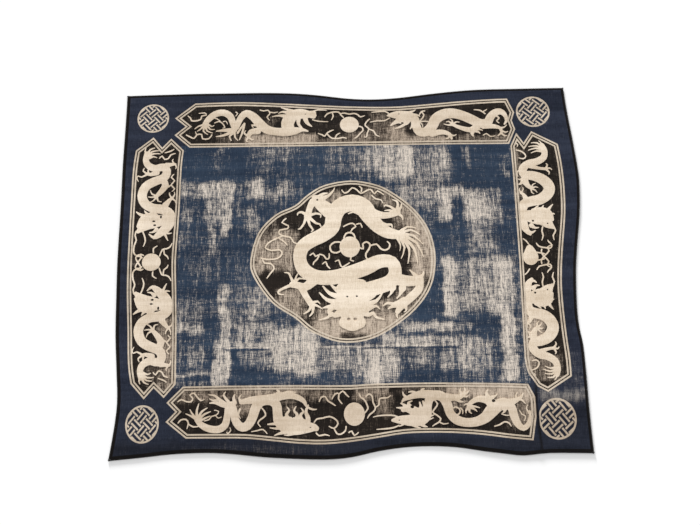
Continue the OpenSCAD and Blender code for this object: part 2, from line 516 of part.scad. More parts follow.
left_far_dragon_strokes = [
    [[-1648, 985, 20], [-1655, 930, 24], [-1632, 880, 28], [-1575, 852, 31], [-1510, 862, 34],
        [-1478, 825, 34], [-1500, 770, 36], [-1580, 735, 38], [-1645, 692, 38], [-1672, 615, 38],
        [-1645, 545, 38], [-1580, 505, 38], [-1500, 492, 40], [-1442, 452, 40], [-1432, 395, 38],
        [-1458, 345, 40], [-1500, 300, 34], [-1550, 258, 18]],
    // head, facing down and left
    [[-1470, 400, 40], [-1540, 395, 52], [-1600, 385, 62], [-1650, 345, 40], [-1692, 305, 16]],
    [[-1570, 440, 24], [-1620, 430, 34], [-1660, 400, 30], [-1690, 350, 16]],
    [[-1520, 275, 24], [-1562, 252, 14], [-1605, 284, 4]],
    [[-1545, 320, 18], [-1570, 300, 8], [-1600, 296, 4]],
    [[-1640, 432, 18], [-1688, 456, 10], [-1714, 476, 4]],
    [[-1612, 440, 16], [-1640, 474, 7], [-1648, 486, 3]],
    [[-1580, 440, 16], [-1598, 476, 6], [-1600, 486, 3]],
    [[-1540, 430, 16], [-1560, 462, 7], [-1562, 478, 3]],
    [[-1480, 300, 12], [-1448, 286, 7], [-1420, 290, 3]],
    [[-1478, 290, 12], [-1462, 250, 7], [-1448, 224, 3]],
    // upper left paw
    [[-1560, 815, 24], [-1610, 800, 15], [-1642, 806, 12]],
    [[-1640, 808, 9], [-1672, 832, 6], [-1662, 858, 3]],
    [[-1640, 800, 9], [-1682, 778, 6], [-1712, 788, 5], [-1722, 768, 5], [-1706, 738, 3]],
    [[-1625, 805, 9], [-1632, 838, 6], [-1608, 850, 3]],
    // limb and paw inside the great curve
    [[-1515, 760, 24], [-1486, 706, 28], [-1518, 650, 22], [-1556, 608, 15]],
    [[-1556, 612, 9], [-1592, 628, 6], [-1608, 662, 3]],
    [[-1556, 606, 9], [-1592, 600, 6], [-1624, 604, 3]],
    [[-1556, 602, 9], [-1576, 572, 6], [-1606, 556, 3]],
    [[-1550, 600, 9], [-1540, 566, 6], [-1512, 560, 3]],
    [[-1490, 700, 20], [-1460, 692, 9], [-1438, 706, 3]],
    // paws on the right
    [[-1480, 530, 26], [-1445, 575, 15], [-1426, 588, 11]],
    [[-1430, 590, 8], [-1450, 622, 5], [-1448, 640, 2.5]],
    [[-1424, 592, 8], [-1408, 622, 5], [-1412, 645, 2.5]],
    [[-1422, 582, 8], [-1402, 566, 5], [-1398, 545, 2.5]],
    [[-1482, 878, 24], [-1440, 886, 14], [-1412, 888, 10]],
    [[-1420, 890, 8], [-1436, 918, 5], [-1428, 935, 2.5]],
    [[-1412, 890, 8], [-1402, 862, 5], [-1408, 845, 2.5]],
    // tail plumes
    [[-1650, 970, 12], [-1664, 1008, 6], [-1656, 1034, 3]],
    [[-1645, 972, 12], [-1622, 1020, 7], [-1582, 1036, 3]],
    [[-1640, 965, 12], [-1602, 1004, 7], [-1550, 1010, 3]],
    [[-1636, 958, 12], [-1592, 984, 7], [-1536, 982, 3]],
    [[-1630, 945, 12], [-1590, 958, 6], [-1562, 946, 3]]
];
left_far_dragon_gaps = [[-1568, 392, 13, 7], [-1560, 358, 12, 8], [-1512, 428, 8, 14]];

right_far_dragon_strokes = [
    [[1602, 1012, 18], [1620, 960, 23], [1606, 902, 28], [1550, 866, 30], [1482, 850, 31],
        [1432, 806, 34], [1440, 752, 36], [1505, 742, 40], [1572, 716, 44], [1622, 670, 46],
        [1636, 620, 46], [1608, 570, 46], [1550, 532, 44], [1480, 518, 42], [1422, 492, 40],
        [1404, 430, 36], [1404, 360, 34], [1416, 300, 32], [1438, 256, 20], [1458, 236, 12]],
    // head, facing down and right
    [[1420, 400, 40], [1490, 385, 58], [1560, 375, 66], [1612, 318, 38], [1646, 290, 14]],
    [[1500, 430, 28], [1560, 432, 34], [1612, 410, 34], [1638, 360, 18]],
    [[1430, 262, 18], [1470, 250, 11], [1502, 268, 4]],
    [[1470, 310, 20], [1500, 290, 9], [1530, 292, 4]],
    [[1495, 430, 18], [1522, 466, 8], [1540, 480, 3]],
    [[1550, 440, 16], [1572, 468, 7], [1578, 484, 3]],
    [[1605, 430, 18], [1636, 470, 8], [1656, 490, 3]],
    [[1628, 400, 14], [1654, 410, 7], [1664, 402, 3]],
    // upper right limb
    [[1480, 835, 26], [1556, 808, 13], [1618, 800, 12]],
    [[1618, 804, 9], [1634, 834, 6], [1622, 848, 3]],
    [[1622, 800, 9], [1652, 806, 6], [1668, 790, 3]],
    [[1620, 796, 9], [1646, 768, 6], [1638, 750, 3]],
    // paw inside the great curve
    [[1440, 700, 30], [1462, 656, 20], [1492, 632, 14]],
    [[1494, 638, 8], [1504, 664, 5], [1528, 676, 2.5]],
    [[1496, 634, 8], [1524, 644, 5], [1546, 636, 2.5]],
    [[1496, 628, 8], [1520, 614, 5], [1536, 594, 2.5]],
    [[1488, 624, 8], [1492, 596, 5], [1510, 582, 2.5]],
    // paws on the left
    [[1430, 700, 20], [1404, 672, 9], [1386, 668, 3]],
    [[1425, 715, 14], [1402, 708, 6], [1388, 716, 3]],
    [[1445, 530, 26], [1424, 576, 14], [1402, 594, 10]],
    [[1402, 594, 7], [1392, 620, 4], [1398, 636, 2.5]],
    [[1406, 598, 7], [1424, 622, 4], [1420, 640, 2.5]],
    // tail plumes
    [[1604, 1000, 10], [1592, 1036, 5], [1574, 1052, 3]],
    [[1608, 992, 12], [1562, 1032, 7], [1512, 1032, 3]],
    [[1608, 982, 12], [1552, 1006, 7], [1490, 1000, 3]],
    [[1606, 972, 12], [1542, 984, 7], [1484, 966, 3]],
    [[1600, 955, 12], [1552, 960, 6], [1506, 942, 3]]
];
right_far_dragon_gaps = [[1486, 350, 9, 8], [1602, 326, 6, 6]];

// ---- Clouds, flames and whiskers --------------------------------------------------------------

medallion_cloud_strokes = [
    [[-500, 402, 5], [-535, 366, 6], [-484, 338, 6], [-494, 312, 6], [-552, 302, 6], [-556, 268, 6],
        [-506, 246, 6], [-466, 238, 6], [-442, 196, 5], [-405, 182, 4]],
    [[-520, 256, 5], [-588, 226, 6], [-640, 196, 6], [-668, 154, 6], [-620, 130, 6], [-552, 134, 6],
        [-534, 98, 6], [-570, 62, 6], [-642, 54, 6], [-702, 66, 5]],
    [[-690, 58, 5], [-672, 24, 6], [-622, 18, 6], [-596, -20, 6], [-622, -58, 6], [-654, -104, 4]],
    [[-52, 642, 4], [-28, 612, 6], [6, 628, 6], [34, 658, 6], [72, 640, 6], [104, 608, 6],
        [146, 628, 6], [184, 642, 6], [214, 602, 6], [240, 628, 6], [292, 592, 4]],
    [[90, 672, 4], [112, 652, 6], [106, 622, 5]],
    [[190, 592, 5], [222, 560, 6], [268, 548, 5], [280, 520, 4]],
    [[-42, 322, 5], [-6, 342, 6], [34, 350, 6], [58, 322, 6], [30, 302, 6], [12, 264, 5]],
    [[62, 340, 5], [96, 348, 6], [110, 312, 4]],
    [[-2, 432, 5], [40, 446, 6], [84, 424, 5]],
    [[-40, 222, 6], [-22, 262, 7], [14, 272, 7], [42, 254, 7], [52, 218, 6]],
    [[-62, 190, 6], [-112, 192, 7], [-150, 158, 7], [-138, 112, 7], [-98, 102, 7], [-66, 118, 6]],
    [[88, 142, 6], [116, 132, 7], [112, 172, 7], [142, 190, 7], [170, 168, 7], [160, 128, 7],
        [136, 92, 7], [138, 56, 6], [162, 40, 4]],
    [[168, 156, 6], [222, 170, 7], [252, 134, 7], [286, 118, 7], [320, 134, 7], [328, 170, 6],
        [306, 192, 4]],
    [[-312, 82, 5], [-284, 102, 6], [-266, 74, 6], [-238, 88, 6], [-252, 52, 6], [-280, 24, 6],
        [-286, 2, 4]],
    [[-238, 92, 5], [-202, 82, 6], [-180, 50, 6], [-158, 60, 6], [-158, 98, 4]],
    [[-212, 8, 4], [-186, 28, 6], [-172, -8, 6], [-150, -30, 4]],
    [[-112, 28, 4], [-82, 40, 6], [-72, 8, 6], [-56, -18, 6], [-26, -4, 6], [6, 18, 4]],
    [[20, 70, 6], [12, 40, 6], [40, 30, 4]],
    [[-560, 232, 4], [-520, 205, 5], [-490, 170, 4]]
];

far_cloud_strokes = [
    // left end
    [[-1322, 1322, 4], [-1298, 1300, 6], [-1288, 1276, 6], [-1244, 1276, 6], [-1212, 1290, 6],
        [-1205, 1318, 6], [-1168, 1326, 5], [-1182, 1346, 5], [-1232, 1342, 3]],
    [[-1332, 1150, 4], [-1300, 1132, 6], [-1264, 1116, 6], [-1240, 1150, 6], [-1202, 1150, 6],
        [-1194, 1112, 6], [-1142, 1112, 6], [-1116, 1150, 4]],
    [[-1244, 1150, 5], [-1256, 1178, 3]],
    // inside and beside the arches
    [[-1112, 1300, 4], [-1078, 1290, 5], [-1050, 1268, 3]],
    [[-1100, 1252, 4], [-1062, 1266, 5], [-1032, 1248, 5], [-1012, 1212, 5], [-1030, 1206, 3]],
    [[-1030, 1262, 4], [-1004, 1268, 4], [-990, 1240, 3]],
    [[-925, 1350, 4], [-908, 1336, 5], [-925, 1310, 3]],
    [[-725, 1366, 4], [-690, 1356, 5], [-655, 1362, 5], [-640, 1330, 5], [-664, 1300, 5],
        [-640, 1270, 3]],
    [[-648, 1346, 5], [-604, 1338, 5], [-572, 1346, 3]],
    // whiskers and wisps beside the pearl
    [[-290, 1342, 5], [-240, 1360, 6], [-168, 1354, 3]],
    [[-288, 1272, 5], [-240, 1256, 5], [-155, 1250, 3]],
    [[-185, 1292, 4], [-165, 1320, 6], [-120, 1336, 6], [-70, 1336, 6], [-50, 1310, 6],
        [-26, 1284, 5]],
    [[-122, 1330, 5], [-114, 1300, 6], [-130, 1264, 3]],
    [[-52, 1322, 5], [-18, 1326, 6], [20, 1316, 6], [60, 1322, 6], [90, 1310, 6], [112, 1290, 6],
        [150, 1302, 3]],
    [[-242, 1146, 4], [-206, 1132, 6], [-186, 1120, 6], [-165, 1148, 6], [-140, 1164, 6],
        [-110, 1176, 3]],
    [[-170, 1146, 5], [-150, 1120, 6], [-120, 1098, 6], [-70, 1098, 6], [-38, 1106, 6],
        [-5, 1098, 4]],
    [[-98, 1102, 5], [-86, 1130, 6], [-58, 1146, 4]],
    [[90, 1206, 5], [124, 1196, 6], [131, 1166, 6], [110, 1144, 6], [82, 1110, 6], [60, 1096, 3]],
    [[190, 1272, 4], [160, 1242, 6], [150, 1210, 6], [180, 1182, 6], [166, 1142, 6], [160, 1108, 6],
        [138, 1108, 3]],
    [[182, 1176, 5], [220, 1160, 6], [236, 1126, 6], [270, 1108, 3]],
    [[355, 1310, 5], [320, 1336, 6], [260, 1336, 6], [205, 1330, 3]],
    [[355, 1278, 5], [310, 1252, 5], [250, 1252, 5], [190, 1240, 3]],
    // right half
    [[596, 1290, 4], [620, 1330, 6], [652, 1336, 4]],
    [[620, 1328, 5], [640, 1300, 6], [626, 1270, 6], [606, 1240, 5], [624, 1210, 4], [626, 1186, 3]],
    [[612, 1240, 5], [650, 1242, 5], [690, 1236, 3]],
    [[1055, 1340, 4], [1100, 1336, 6], [1130, 1318, 6], [1150, 1300, 5]],
    [[1130, 1320, 5], [1165, 1342, 4]],
    [[1120, 1106, 4], [1150, 1122, 5], [1182, 1096, 5], [1222, 1102, 3]]
];

near_cloud_strokes = [
    // left end
    [[-1330, -1088, 4], [-1302, -1068, 6], [-1264, -1084, 6], [-1226, -1086, 6], [-1214, -1060, 6],
        [-1236, -1034, 6], [-1206, -1020, 6], [-1182, -1048, 6], [-1152, -1078, 6], [-1124, -1068, 3]],
    [[-1322, -1252, 4], [-1300, -1226, 6], [-1262, -1222, 6], [-1242, -1250, 6], [-1252, -1296, 3]],
    [[-1244, -1256, 5], [-1204, -1280, 6], [-1160, -1276, 4]],
    // inside and beside the loops
    [[-1124, -1236, 4], [-1086, -1226, 5], [-1066, -1202, 5], [-1030, -1192, 5], [-1012, -1164, 4],
        [-1048, -1154, 3]],
    [[-1034, -1198, 4], [-1014, -1216, 4], [-988, -1206, 3]],
    [[-948, -1322, 3], [-940, -1336, 5], [-918, -1312, 4], [-925, -1290, 3]],
    [[-690, -1136, 4], [-664, -1166, 6], [-654, -1202, 6], [-690, -1230, 6], [-712, -1258, 5],
        [-690, -1288, 4]],
    [[-762, -1324, 3], [-716, -1316, 5], [-672, -1308, 5], [-640, -1342, 3]],
    // whiskers and wisps beside the pearl
    [[-285, -1262, 5], [-262, -1234, 6], [-220, -1228, 6], [-165, -1216, 6], [-118, -1240, 6],
        [-102, -1272, 6], [-132, -1308, 6], [-172, -1290, 4]],
    [[-270, -1338, 5], [-246, -1362, 6], [-202, -1354, 6], [-165, -1364, 3]],
    [[-245, -1102, 4], [-228, -1066, 6], [-196, -1062, 6], [-180, -1092, 6], [-150, -1112, 6],
        [-118, -1134, 4]],
    [[-148, -1084, 4], [-122, -1042, 6], [-92, -1040, 6], [-96, -1080, 6], [-68, -1120, 4]],
    [[-92, -1044, 5], [-62, -1020, 6], [-38, -1046, 6], [-14, -1068, 4]],
    [[-132, -1306, 5], [-112, -1346, 6], [-80, -1352, 6], [-46, -1326, 6], [-40, -1290, 5]],
    [[-22, -1342, 5], [2, -1330, 6], [22, -1364, 6], [54, -1340, 4]],
    [[62, -1040, 4], [74, -1070, 6], [102, -1090, 6], [122, -1130, 6], [128, -1160, 6], [100, -1195, 5]],
    [[112, -1070, 5], [136, -1046, 6], [162, -1062, 6], [168, -1110, 6], [186, -1152, 6],
        [172, -1182, 6], [140, -1206, 6], [122, -1236, 3]],
    [[186, -1150, 5], [214, -1130, 6], [218, -1086, 6], [250, -1078, 6], [284, -1076, 5],
        [304, -1058, 3]],
    [[372, -1236, 5], [330, -1216, 6], [270, -1212, 6], [204, -1216, 5], [166, -1226, 3]],
    [[366, -1290, 5], [322, -1308, 6], [260, -1316, 6], [190, -1320, 3]],
    // right half
    [[635, -1096, 4], [662, -1130, 6], [642, -1164, 6], [622, -1194, 6], [652, -1216, 6],
        [682, -1244, 6], [668, -1270, 6], [640, -1286, 5], [616, -1302, 3]],
    [[668, -1268, 5], [702, -1286, 5], [740, -1280, 3]],
    [[782, -1210, 4], [812, -1216, 6], [832, -1196, 6], [826, -1170, 6], [796, -1156, 6],
        [774, -1170, 4]],
    [[834, -1162, 4], [852, -1184, 6], [850, -1212, 3]],
    [[1146, -1216, 3], [1180, -1226, 5], [1208, -1226, 3]],
    [[1086, -1310, 4], [1132, -1296, 6], [1166, -1276, 6], [1200, -1286, 6], [1216, -1312, 3]],
    [[1286, -1190, 4], [1302, -1220, 5], [1330, -1236, 5], [1318, -1270, 4]]
];

left_cloud_strokes = [
    [[-1545, 940, 4], [-1522, 962, 6], [-1500, 932, 6], [-1468, 942, 6], [-1450, 972, 6],
        [-1412, 984, 4]],
    [[-1502, 990, 4], [-1455, 1004, 6], [-1425, 1022, 4]],
    [[-1418, 800, 4], [-1440, 772, 6], [-1412, 742, 6], [-1440, 706, 6], [-1410, 672, 6],
        [-1432, 648, 3]],
    [[-1662, 322, 5], [-1640, 272, 6], [-1630, 222, 6], [-1645, 176, 3]],
    [[-1706, 312, 5], [-1714, 272, 6], [-1702, 232, 6], [-1716, 190, 6], [-1720, 132, 6],
        [-1696, 102, 6], [-1660, 112, 6], [-1636, 100, 5]],
    [[-1662, 108, 5], [-1660, 78, 6], [-1692, 30, 6], [-1700, 0, 5], [-1672, -6, 6],
        [-1646, 10, 5]],
    [[-1560, 122, 5], [-1562, 160, 6], [-1530, 182, 3]],
    [[-1512, 92, 5], [-1490, 150, 6], [-1458, 156, 6], [-1430, 172, 6], [-1414, 204, 3]],
    [[-1478, 152, 5], [-1474, 112, 6], [-1450, 92, 6], [-1440, 68, 3]]
];

right_cloud_strokes = [
    [[1384, 972, 4], [1420, 962, 6], [1450, 940, 6], [1462, 912, 5], [1440, 892, 6], [1402, 902, 3]],
    [[1380, 1040, 4], [1402, 1020, 5], [1395, 1000, 3]],
    [[1392, 790, 4], [1382, 762, 4], [1388, 735, 3]],
    [[1500, 162, 4], [1520, 132, 6], [1570, 120, 6], [1610, 116, 6], [1624, 142, 6], [1602, 168, 6],
        [1592, 186, 3]],
    [[1542, 112, 5], [1536, 78, 6], [1560, 42, 6], [1590, 4, 6], [1576, -28, 6], [1602, -44, 3]],
    [[1476, 12, 5], [1530, 20, 6], [1562, 28, 4]],
    [[1562, 302, 5], [1552, 262, 6], [1560, 222, 6], [1545, 182, 3]],
    [[1650, 296, 5], [1662, 262, 6], [1640, 222, 6], [1646, 182, 3]],
    [[1396, 200, 4], [1420, 180, 5], [1440, 150, 5]]
];

// ---- Motifs laid in their grounds -------------------------------------------------------------

module far_inside() {
    inset(frame_w + motif_gap) far_cartouche();
}

module near_inside() {
    inset(frame_w + motif_gap) near_cartouche();
}

module left_inside() {
    inset(frame_w + motif_gap) left_cartouche();
}

module right_inside() {
    inset(frame_w + motif_gap) right_cartouche();
}

module medallion_inside() {
    inset(frame_w + motif_gap) medallion();
}

module dragon_shape(list, eyes, place) {
    difference() {
        close_cracks() strokes(list, place);
        gaps(eyes, place);
    }
}

module medallion_dragon_shape() {
    intersection() {
        dragon_shape(medallion_dragon_strokes, medallion_dragon_gaps, function(p) as_drawn(p));
        medallion_inside();
    }
}

module far_left_dragon_shape() {
    intersection() {
        dragon_shape(far_left_dragon_strokes, far_left_dragon_gaps, function(p) as_drawn(p));
        far_inside();
    }
}

module far_right_dragon_shape() {
    intersection() {
        dragon_shape(far_right_dragon_strokes, far_right_dragon_gaps, function(p) as_drawn(p));
        far_inside();
    }
}

module near_left_dragon_shape() {
    intersection() {
        dragon_shape(near_left_dragon_strokes, near_left_dragon_gaps, function(p) as_drawn(p));
        near_inside();
    }
}

module near_right_dragon_shape() {
    intersection() {
        dragon_shape(near_right_dragon_strokes, near_right_dragon_gaps, function(p) as_drawn(p));
        near_inside();
    }
}

module left_far_dragon_shape() {
    intersection() {
        dragon_shape(left_far_dragon_strokes, left_far_dragon_gaps, function(p) as_drawn(p));
        left_inside();
    }
}

module left_near_dragon_shape() {
    intersection() {
        dragon_shape(left_far_dragon_strokes, left_far_dragon_gaps, function(p) left_to_near(p));
        left_inside();
    }
}

module right_far_dragon_shape() {
    intersection() {
        dragon_shape(right_far_dragon_strokes, right_far_dragon_gaps, function(p) as_drawn(p));
        right_inside();
    }
}

module right_near_dragon_shape() {
    intersection() {
        dragon_shape(right_far_dragon_strokes, right_far_dragon_gaps, function(p) right_to_near(p));
        right_inside();
    }
}

module medallion_pearl_shape() {
    oval([8, 150], 82, 88);
}

module far_pearl_shape() {
    oval([19, 1221], 78, 71);
}

module near_pearl_shape() {
    oval([24, -1200], 80, 90);
}

module left_pearl_shape() {
    oval([-1575, left_middle], 75, 73);
}

module right_pearl_shape() {
    intersection() {
        union() {
            oval([1448, 44], 62, 68);
            polygon([[1401, 90], [1422, 135], [1445, 150], [1470, 132], [1498, 86]]);
        }
        right_inside();
    }
}

module medallion_clouds_shape() {
    difference() {
        intersection() {
            close_cracks() strokes(medallion_cloud_strokes, function(p) as_drawn(p));
            medallion_inside();
        }
        medallion_dragon_shape();
        medallion_pearl_shape();
    }
}

module far_clouds_shape() {
    difference() {
        intersection() {
            close_cracks() strokes(far_cloud_strokes, function(p) as_drawn(p));
            far_inside();
        }
        far_left_dragon_shape();
        far_right_dragon_shape();
        far_pearl_shape();
    }
}

module near_clouds_shape() {
    difference() {
        intersection() {
            close_cracks() strokes(near_cloud_strokes, function(p) as_drawn(p));
            near_inside();
        }
        near_left_dragon_shape();
        near_right_dragon_shape();
        near_pearl_shape();
    }
}

module left_clouds_shape() {
    difference() {
        intersection() {
            close_cracks() {
                strokes(left_cloud_strokes, function(p) as_drawn(p));
                strokes(left_cloud_strokes, function(p) left_to_near(p));
            }
            left_inside();
        }
        left_far_dragon_shape();
        left_near_dragon_shape();
        left_pearl_shape();
    }
}

module right_clouds_shape() {
    difference() {
        intersection() {
            close_cracks() {
                strokes(right_cloud_strokes, function(p) as_drawn(p));
                strokes(right_cloud_strokes, function(p) right_to_near(p));
            }
            right_inside();
        }
        right_far_dragon_shape();
        right_near_dragon_shape();
        right_pearl_shape();
    }
}

// Two ivory lines round a shape, and the dark line between them
module line_pair() {
    for (start = [0, line_w + groove_w])
        difference() {
            inset(start) children();
            inset(start + line_w) children();
        }
}

module dark_line() {
    difference() {
        inset(line_w) children();
        inset(line_w + groove_w) children();
    }
}

// A motif's ground: the dark line and all that lies inside the lines
module ground_shape() {
    dark_line() children();
    inset(frame_w) children();
}

// ---- Roundels: a ring filled with a plain basket-weave fret -----------------------------------

roundel_r = 130;
fret_cell = 5 * bar_w;

module fret_roundel(middle, rx, ry, turn) {
    translate(middle) scale([rx / roundel_r, ry / roundel_r]) {
        difference() {
            circle(r = roundel_r, $fn = 48);
            circle(r = roundel_r - bar_w, $fn = 48);
        }
        intersection() {
            circle(r = roundel_r - bar_w / 2, $fn = 48);
            rotate(turn) fret();
        }
    }
}

module fret() {
    for (i = [-3:2]) for (j = [-3:2])
        translate([i, j] * fret_cell + [fret_cell, fret_cell] / 2)
            rotate((i + j) % 2 == 0 ? 0 : 90)
                for (k = [-1, 1])
                    translate([-fret_cell / 2 - bar_w / 4, k * bar_w * 1.25 - bar_w / 2])
                        square([fret_cell + bar_w / 2, bar_w]);
}

module far_left_roundel_shape() {
    fret_roundel([-1608, 1302], 131, 129, 42);
}

module far_right_roundel_shape() {
    fret_roundel([1545, 1314], 140, 138, -40);
}

module near_left_roundel_shape() {
    fret_roundel([-1595, -1255], 128, 147, -42);
}

module near_right_roundel_shape() {
    intersection() {
        fret_roundel([1572, -1258], 145, 160, 40);
        translate([1434, -far_away]) square([far_away, 2 * far_away]);
    }
}

// ---- Grounds between the motifs ---------------------------------------------------------------

field_corner = [-1365, -980];
field_size = [2750, 2028];

module carpet_shape() {
    polygon(outline);
}

module knotted_shape() {
    inset(edge_w) carpet_shape();
}

module edge_ring() {
    difference() {
        carpet_shape();
        knotted_shape();
    }
}

// A wedge from the middle of the carpet through two corners, to part the edge ring into sides
module wedge(a, b) {
    intersection() {
        edge_ring();
        polygon([[0, 0], 2 * a, 2 * b]);
    }
}

module inside_band() {
    translate([band_drift_x, band_drift_y]) inset(edge_w + band_w) carpet_shape();
}

module guard_band_shape() {
    difference() {
        knotted_shape();
        inside_band();
    }
}

module cartouches() {
    far_cartouche();
    near_cartouche();
    left_cartouche();
    right_cartouche();
}

module field_rectangle() {
    translate(field_corner) square(field_size);
}

module field_shape() {
    difference() {
        field_rectangle();
        cartouches();
        medallion();
    }
}

module roundels() {
    far_left_roundel_shape();
    far_right_roundel_shape();
    near_left_roundel_shape();
    near_right_roundel_shape();
}

module border_shape() {
    difference() {
        inside_band();
        field_rectangle();
        cartouches();
        roundels();
    }
}

// ---- Sub-parts --------------------------------------------------------------------------------

module foundation() {
    color(cotton) slab(0, base_t) beyond_fold() knotted_shape();
}

module foundation_flap() {
    color(cotton) slab(0, base_t) before_fold() knotted_shape();
}

module field_pile() {
    color(field_blue) pile() beyond_fold() field_shape();
}

module field_pile_flap() {
    color(field_blue) pile() before_fold() field_shape();
}

module border_pile() {
    color(navy) pile() beyond_fold() border_shape();
}

module border_pile_flap() {
    color(navy) pile() before_fold() border_shape();
}

module guard_band() {
    color(black_brown) pile() beyond_fold() guard_band_shape();
}

module guard_band_flap() {
    color(black_brown) pile() before_fold() guard_band_shape();
}

module left_side_cord() {
    color(black_brown) slab(0, side_cord_t) beyond_fold() wedge(left_edge[0], far_edge[0]);
}

module left_side_cord_flap() {
    color(black_brown) slab(0, side_cord_t) before_fold() wedge(left_edge[0], far_edge[0]);
}

module right_side_cord() {
    color(black_brown) slab(0, side_cord_t) beyond_fold() wedge(right_edge[0], near_edge[0]);
}

module right_side_cord_flap() {
    color(black_brown) slab(0, side_cord_t) before_fold() wedge(right_edge[0], near_edge[0]);
}

module far_end_strip() {
    color(black_brown) slab(0, end_strip_t) wedge(far_edge[0], right_edge[0]);
}

module near_end_strip() {
    color(black_brown) slab(0, end_strip_t) wedge(near_edge[0], left_edge[0]);
}

module medallion_lines() {
    color(ivory) pile() line_pair() medallion();
}

module medallion_ground() {
    color(black_brown) low_pile() ground_shape() medallion();
}

module medallion_dragon() {
    color(ivory) relief() medallion_dragon_shape();
}

module medallion_pearl() {
    color(ivory) relief() medallion_pearl_shape();
}

module medallion_clouds() {
    color(ivory) relief() medallion_clouds_shape();
}

module far_lines() {
    color(ivory) pile() line_pair() far_cartouche();
}

module far_ground() {
    color(black_brown) low_pile() ground_shape() far_cartouche();
}

module far_left_dragon() {
    color(ivory) relief() far_left_dragon_shape();
}

module far_right_dragon() {
    color(ivory) relief() far_right_dragon_shape();
}

module far_pearl() {
    color(ivory) relief() far_pearl_shape();
}

module far_clouds() {
    color(ivory) relief() far_clouds_shape();
}

module near_lines() {
    color(ivory) pile() line_pair() near_cartouche();
}

module near_ground() {
    color(black_brown) low_pile() ground_shape() near_cartouche();
}

module near_left_dragon() {
    color(ivory) relief() near_left_dragon_shape();
}

module near_right_dragon() {
    color(ivory) relief() near_right_dragon_shape();
}

module near_pearl() {
    color(ivory) relief() near_pearl_shape();
}

module near_clouds() {
    color(ivory) relief() near_clouds_shape();
}

module left_lines() {
    color(ivory) pile() beyond_fold() line_pair() left_cartouche();
}

module left_lines_flap() {
    color(ivory) pile() before_fold() line_pair() left_cartouche();
}

module left_ground() {
    color(black_brown) low_pile() beyond_fold() ground_shape() left_cartouche();
}

module left_ground_flap() {
    color(black_brown) low_pile() before_fold() ground_shape() left_cartouche();
}

module left_far_dragon() {
    color(ivory) relief() left_far_dragon_shape();
}

module left_near_dragon() {
    color(ivory) relief() beyond_fold() left_near_dragon_shape();
}

module left_near_dragon_flap() {
    color(ivory) relief() before_fold() left_near_dragon_shape();
}

module left_pearl() {
    color(ivory) relief() left_pearl_shape();
}

module left_clouds() {
    color(ivory) relief() beyond_fold() left_clouds_shape();
}

module left_clouds_flap() {
    color(ivory) relief() before_fold() left_clouds_shape();
}

module right_lines() {
    color(ivory) pile() beyond_fold() line_pair() right_cartouche();
}

module right_lines_flap() {
    color(ivory) pile() before_fold() line_pair() right_cartouche();
}

module right_ground() {
    color(black_brown) low_pile() beyond_fold() ground_shape() right_cartouche();
}

module right_ground_flap() {
    color(black_brown) low_pile() before_fold() ground_shape() right_cartouche();
}

module right_far_dragon() {
    color(ivory) relief() right_far_dragon_shape();
}

module right_near_dragon() {
    color(ivory) relief() beyond_fold() right_near_dragon_shape();
}

module right_near_dragon_flap() {
    color(ivory) relief() before_fold() right_near_dragon_shape();
}

module right_pearl() {
    color(ivory) relief() right_pearl_shape();
}

module right_clouds() {
    color(ivory) relief() beyond_fold() right_clouds_shape();
}

module right_clouds_flap() {
    color(ivory) relief() before_fold() right_clouds_shape();
}

module far_left_roundel() {
    color(ivory) pile() far_left_roundel_shape();
}

module far_right_roundel() {
    color(ivory) pile() far_right_roundel_shape();
}

module near_left_roundel() {
    color(ivory) pile() near_left_roundel_shape();
}

module near_right_roundel() {
    color(ivory) pile() near_right_roundel_shape();
}

foundation();
foundation_flap();
field_pile();
field_pile_flap();
border_pile();
border_pile_flap();
guard_band();
guard_band_flap();
left_side_cord();
left_side_cord_flap();
right_side_cord();
right_side_cord_flap();
far_end_strip();
near_end_strip();
medallion_lines();
medallion_ground();
medallion_dragon();
medallion_pearl();
medallion_clouds();
far_lines();
far_ground();
far_left_dragon();
far_right_dragon();
far_pearl();
far_clouds();
near_lines();
near_ground();
near_left_dragon();
near_right_dragon();
near_pearl();
near_clouds();
left_lines();
left_lines_flap();
left_ground();
left_ground_flap();
left_far_dragon();
left_near_dragon();
left_near_dragon_flap();
left_pearl();
left_clouds();
left_clouds_flap();
right_lines();
right_lines_flap();
right_ground();
right_ground_flap();
right_far_dragon();
right_near_dragon();
right_near_dragon_flap();
right_pearl();
right_clouds();
right_clouds_flap();
far_left_roundel();
far_right_roundel();
near_left_roundel();
near_right_roundel();
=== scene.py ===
"""Looks of a hand-knotted dragon medallion carpet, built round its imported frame.

Metres, +Z up, with the origin on the floor under the middle of the carpet. +X runs along the long
side and +Y to the far end. Every colour of yarn is a piece of its own, knotted on one woven base.
"""
import json
import logging
import math
from dataclasses import dataclass, field
from enum import Enum

import bpy
import numpy as np
from mathutils import Matrix, Vector, kdtree
from mathutils.geometry import delaunay_2d_cdt

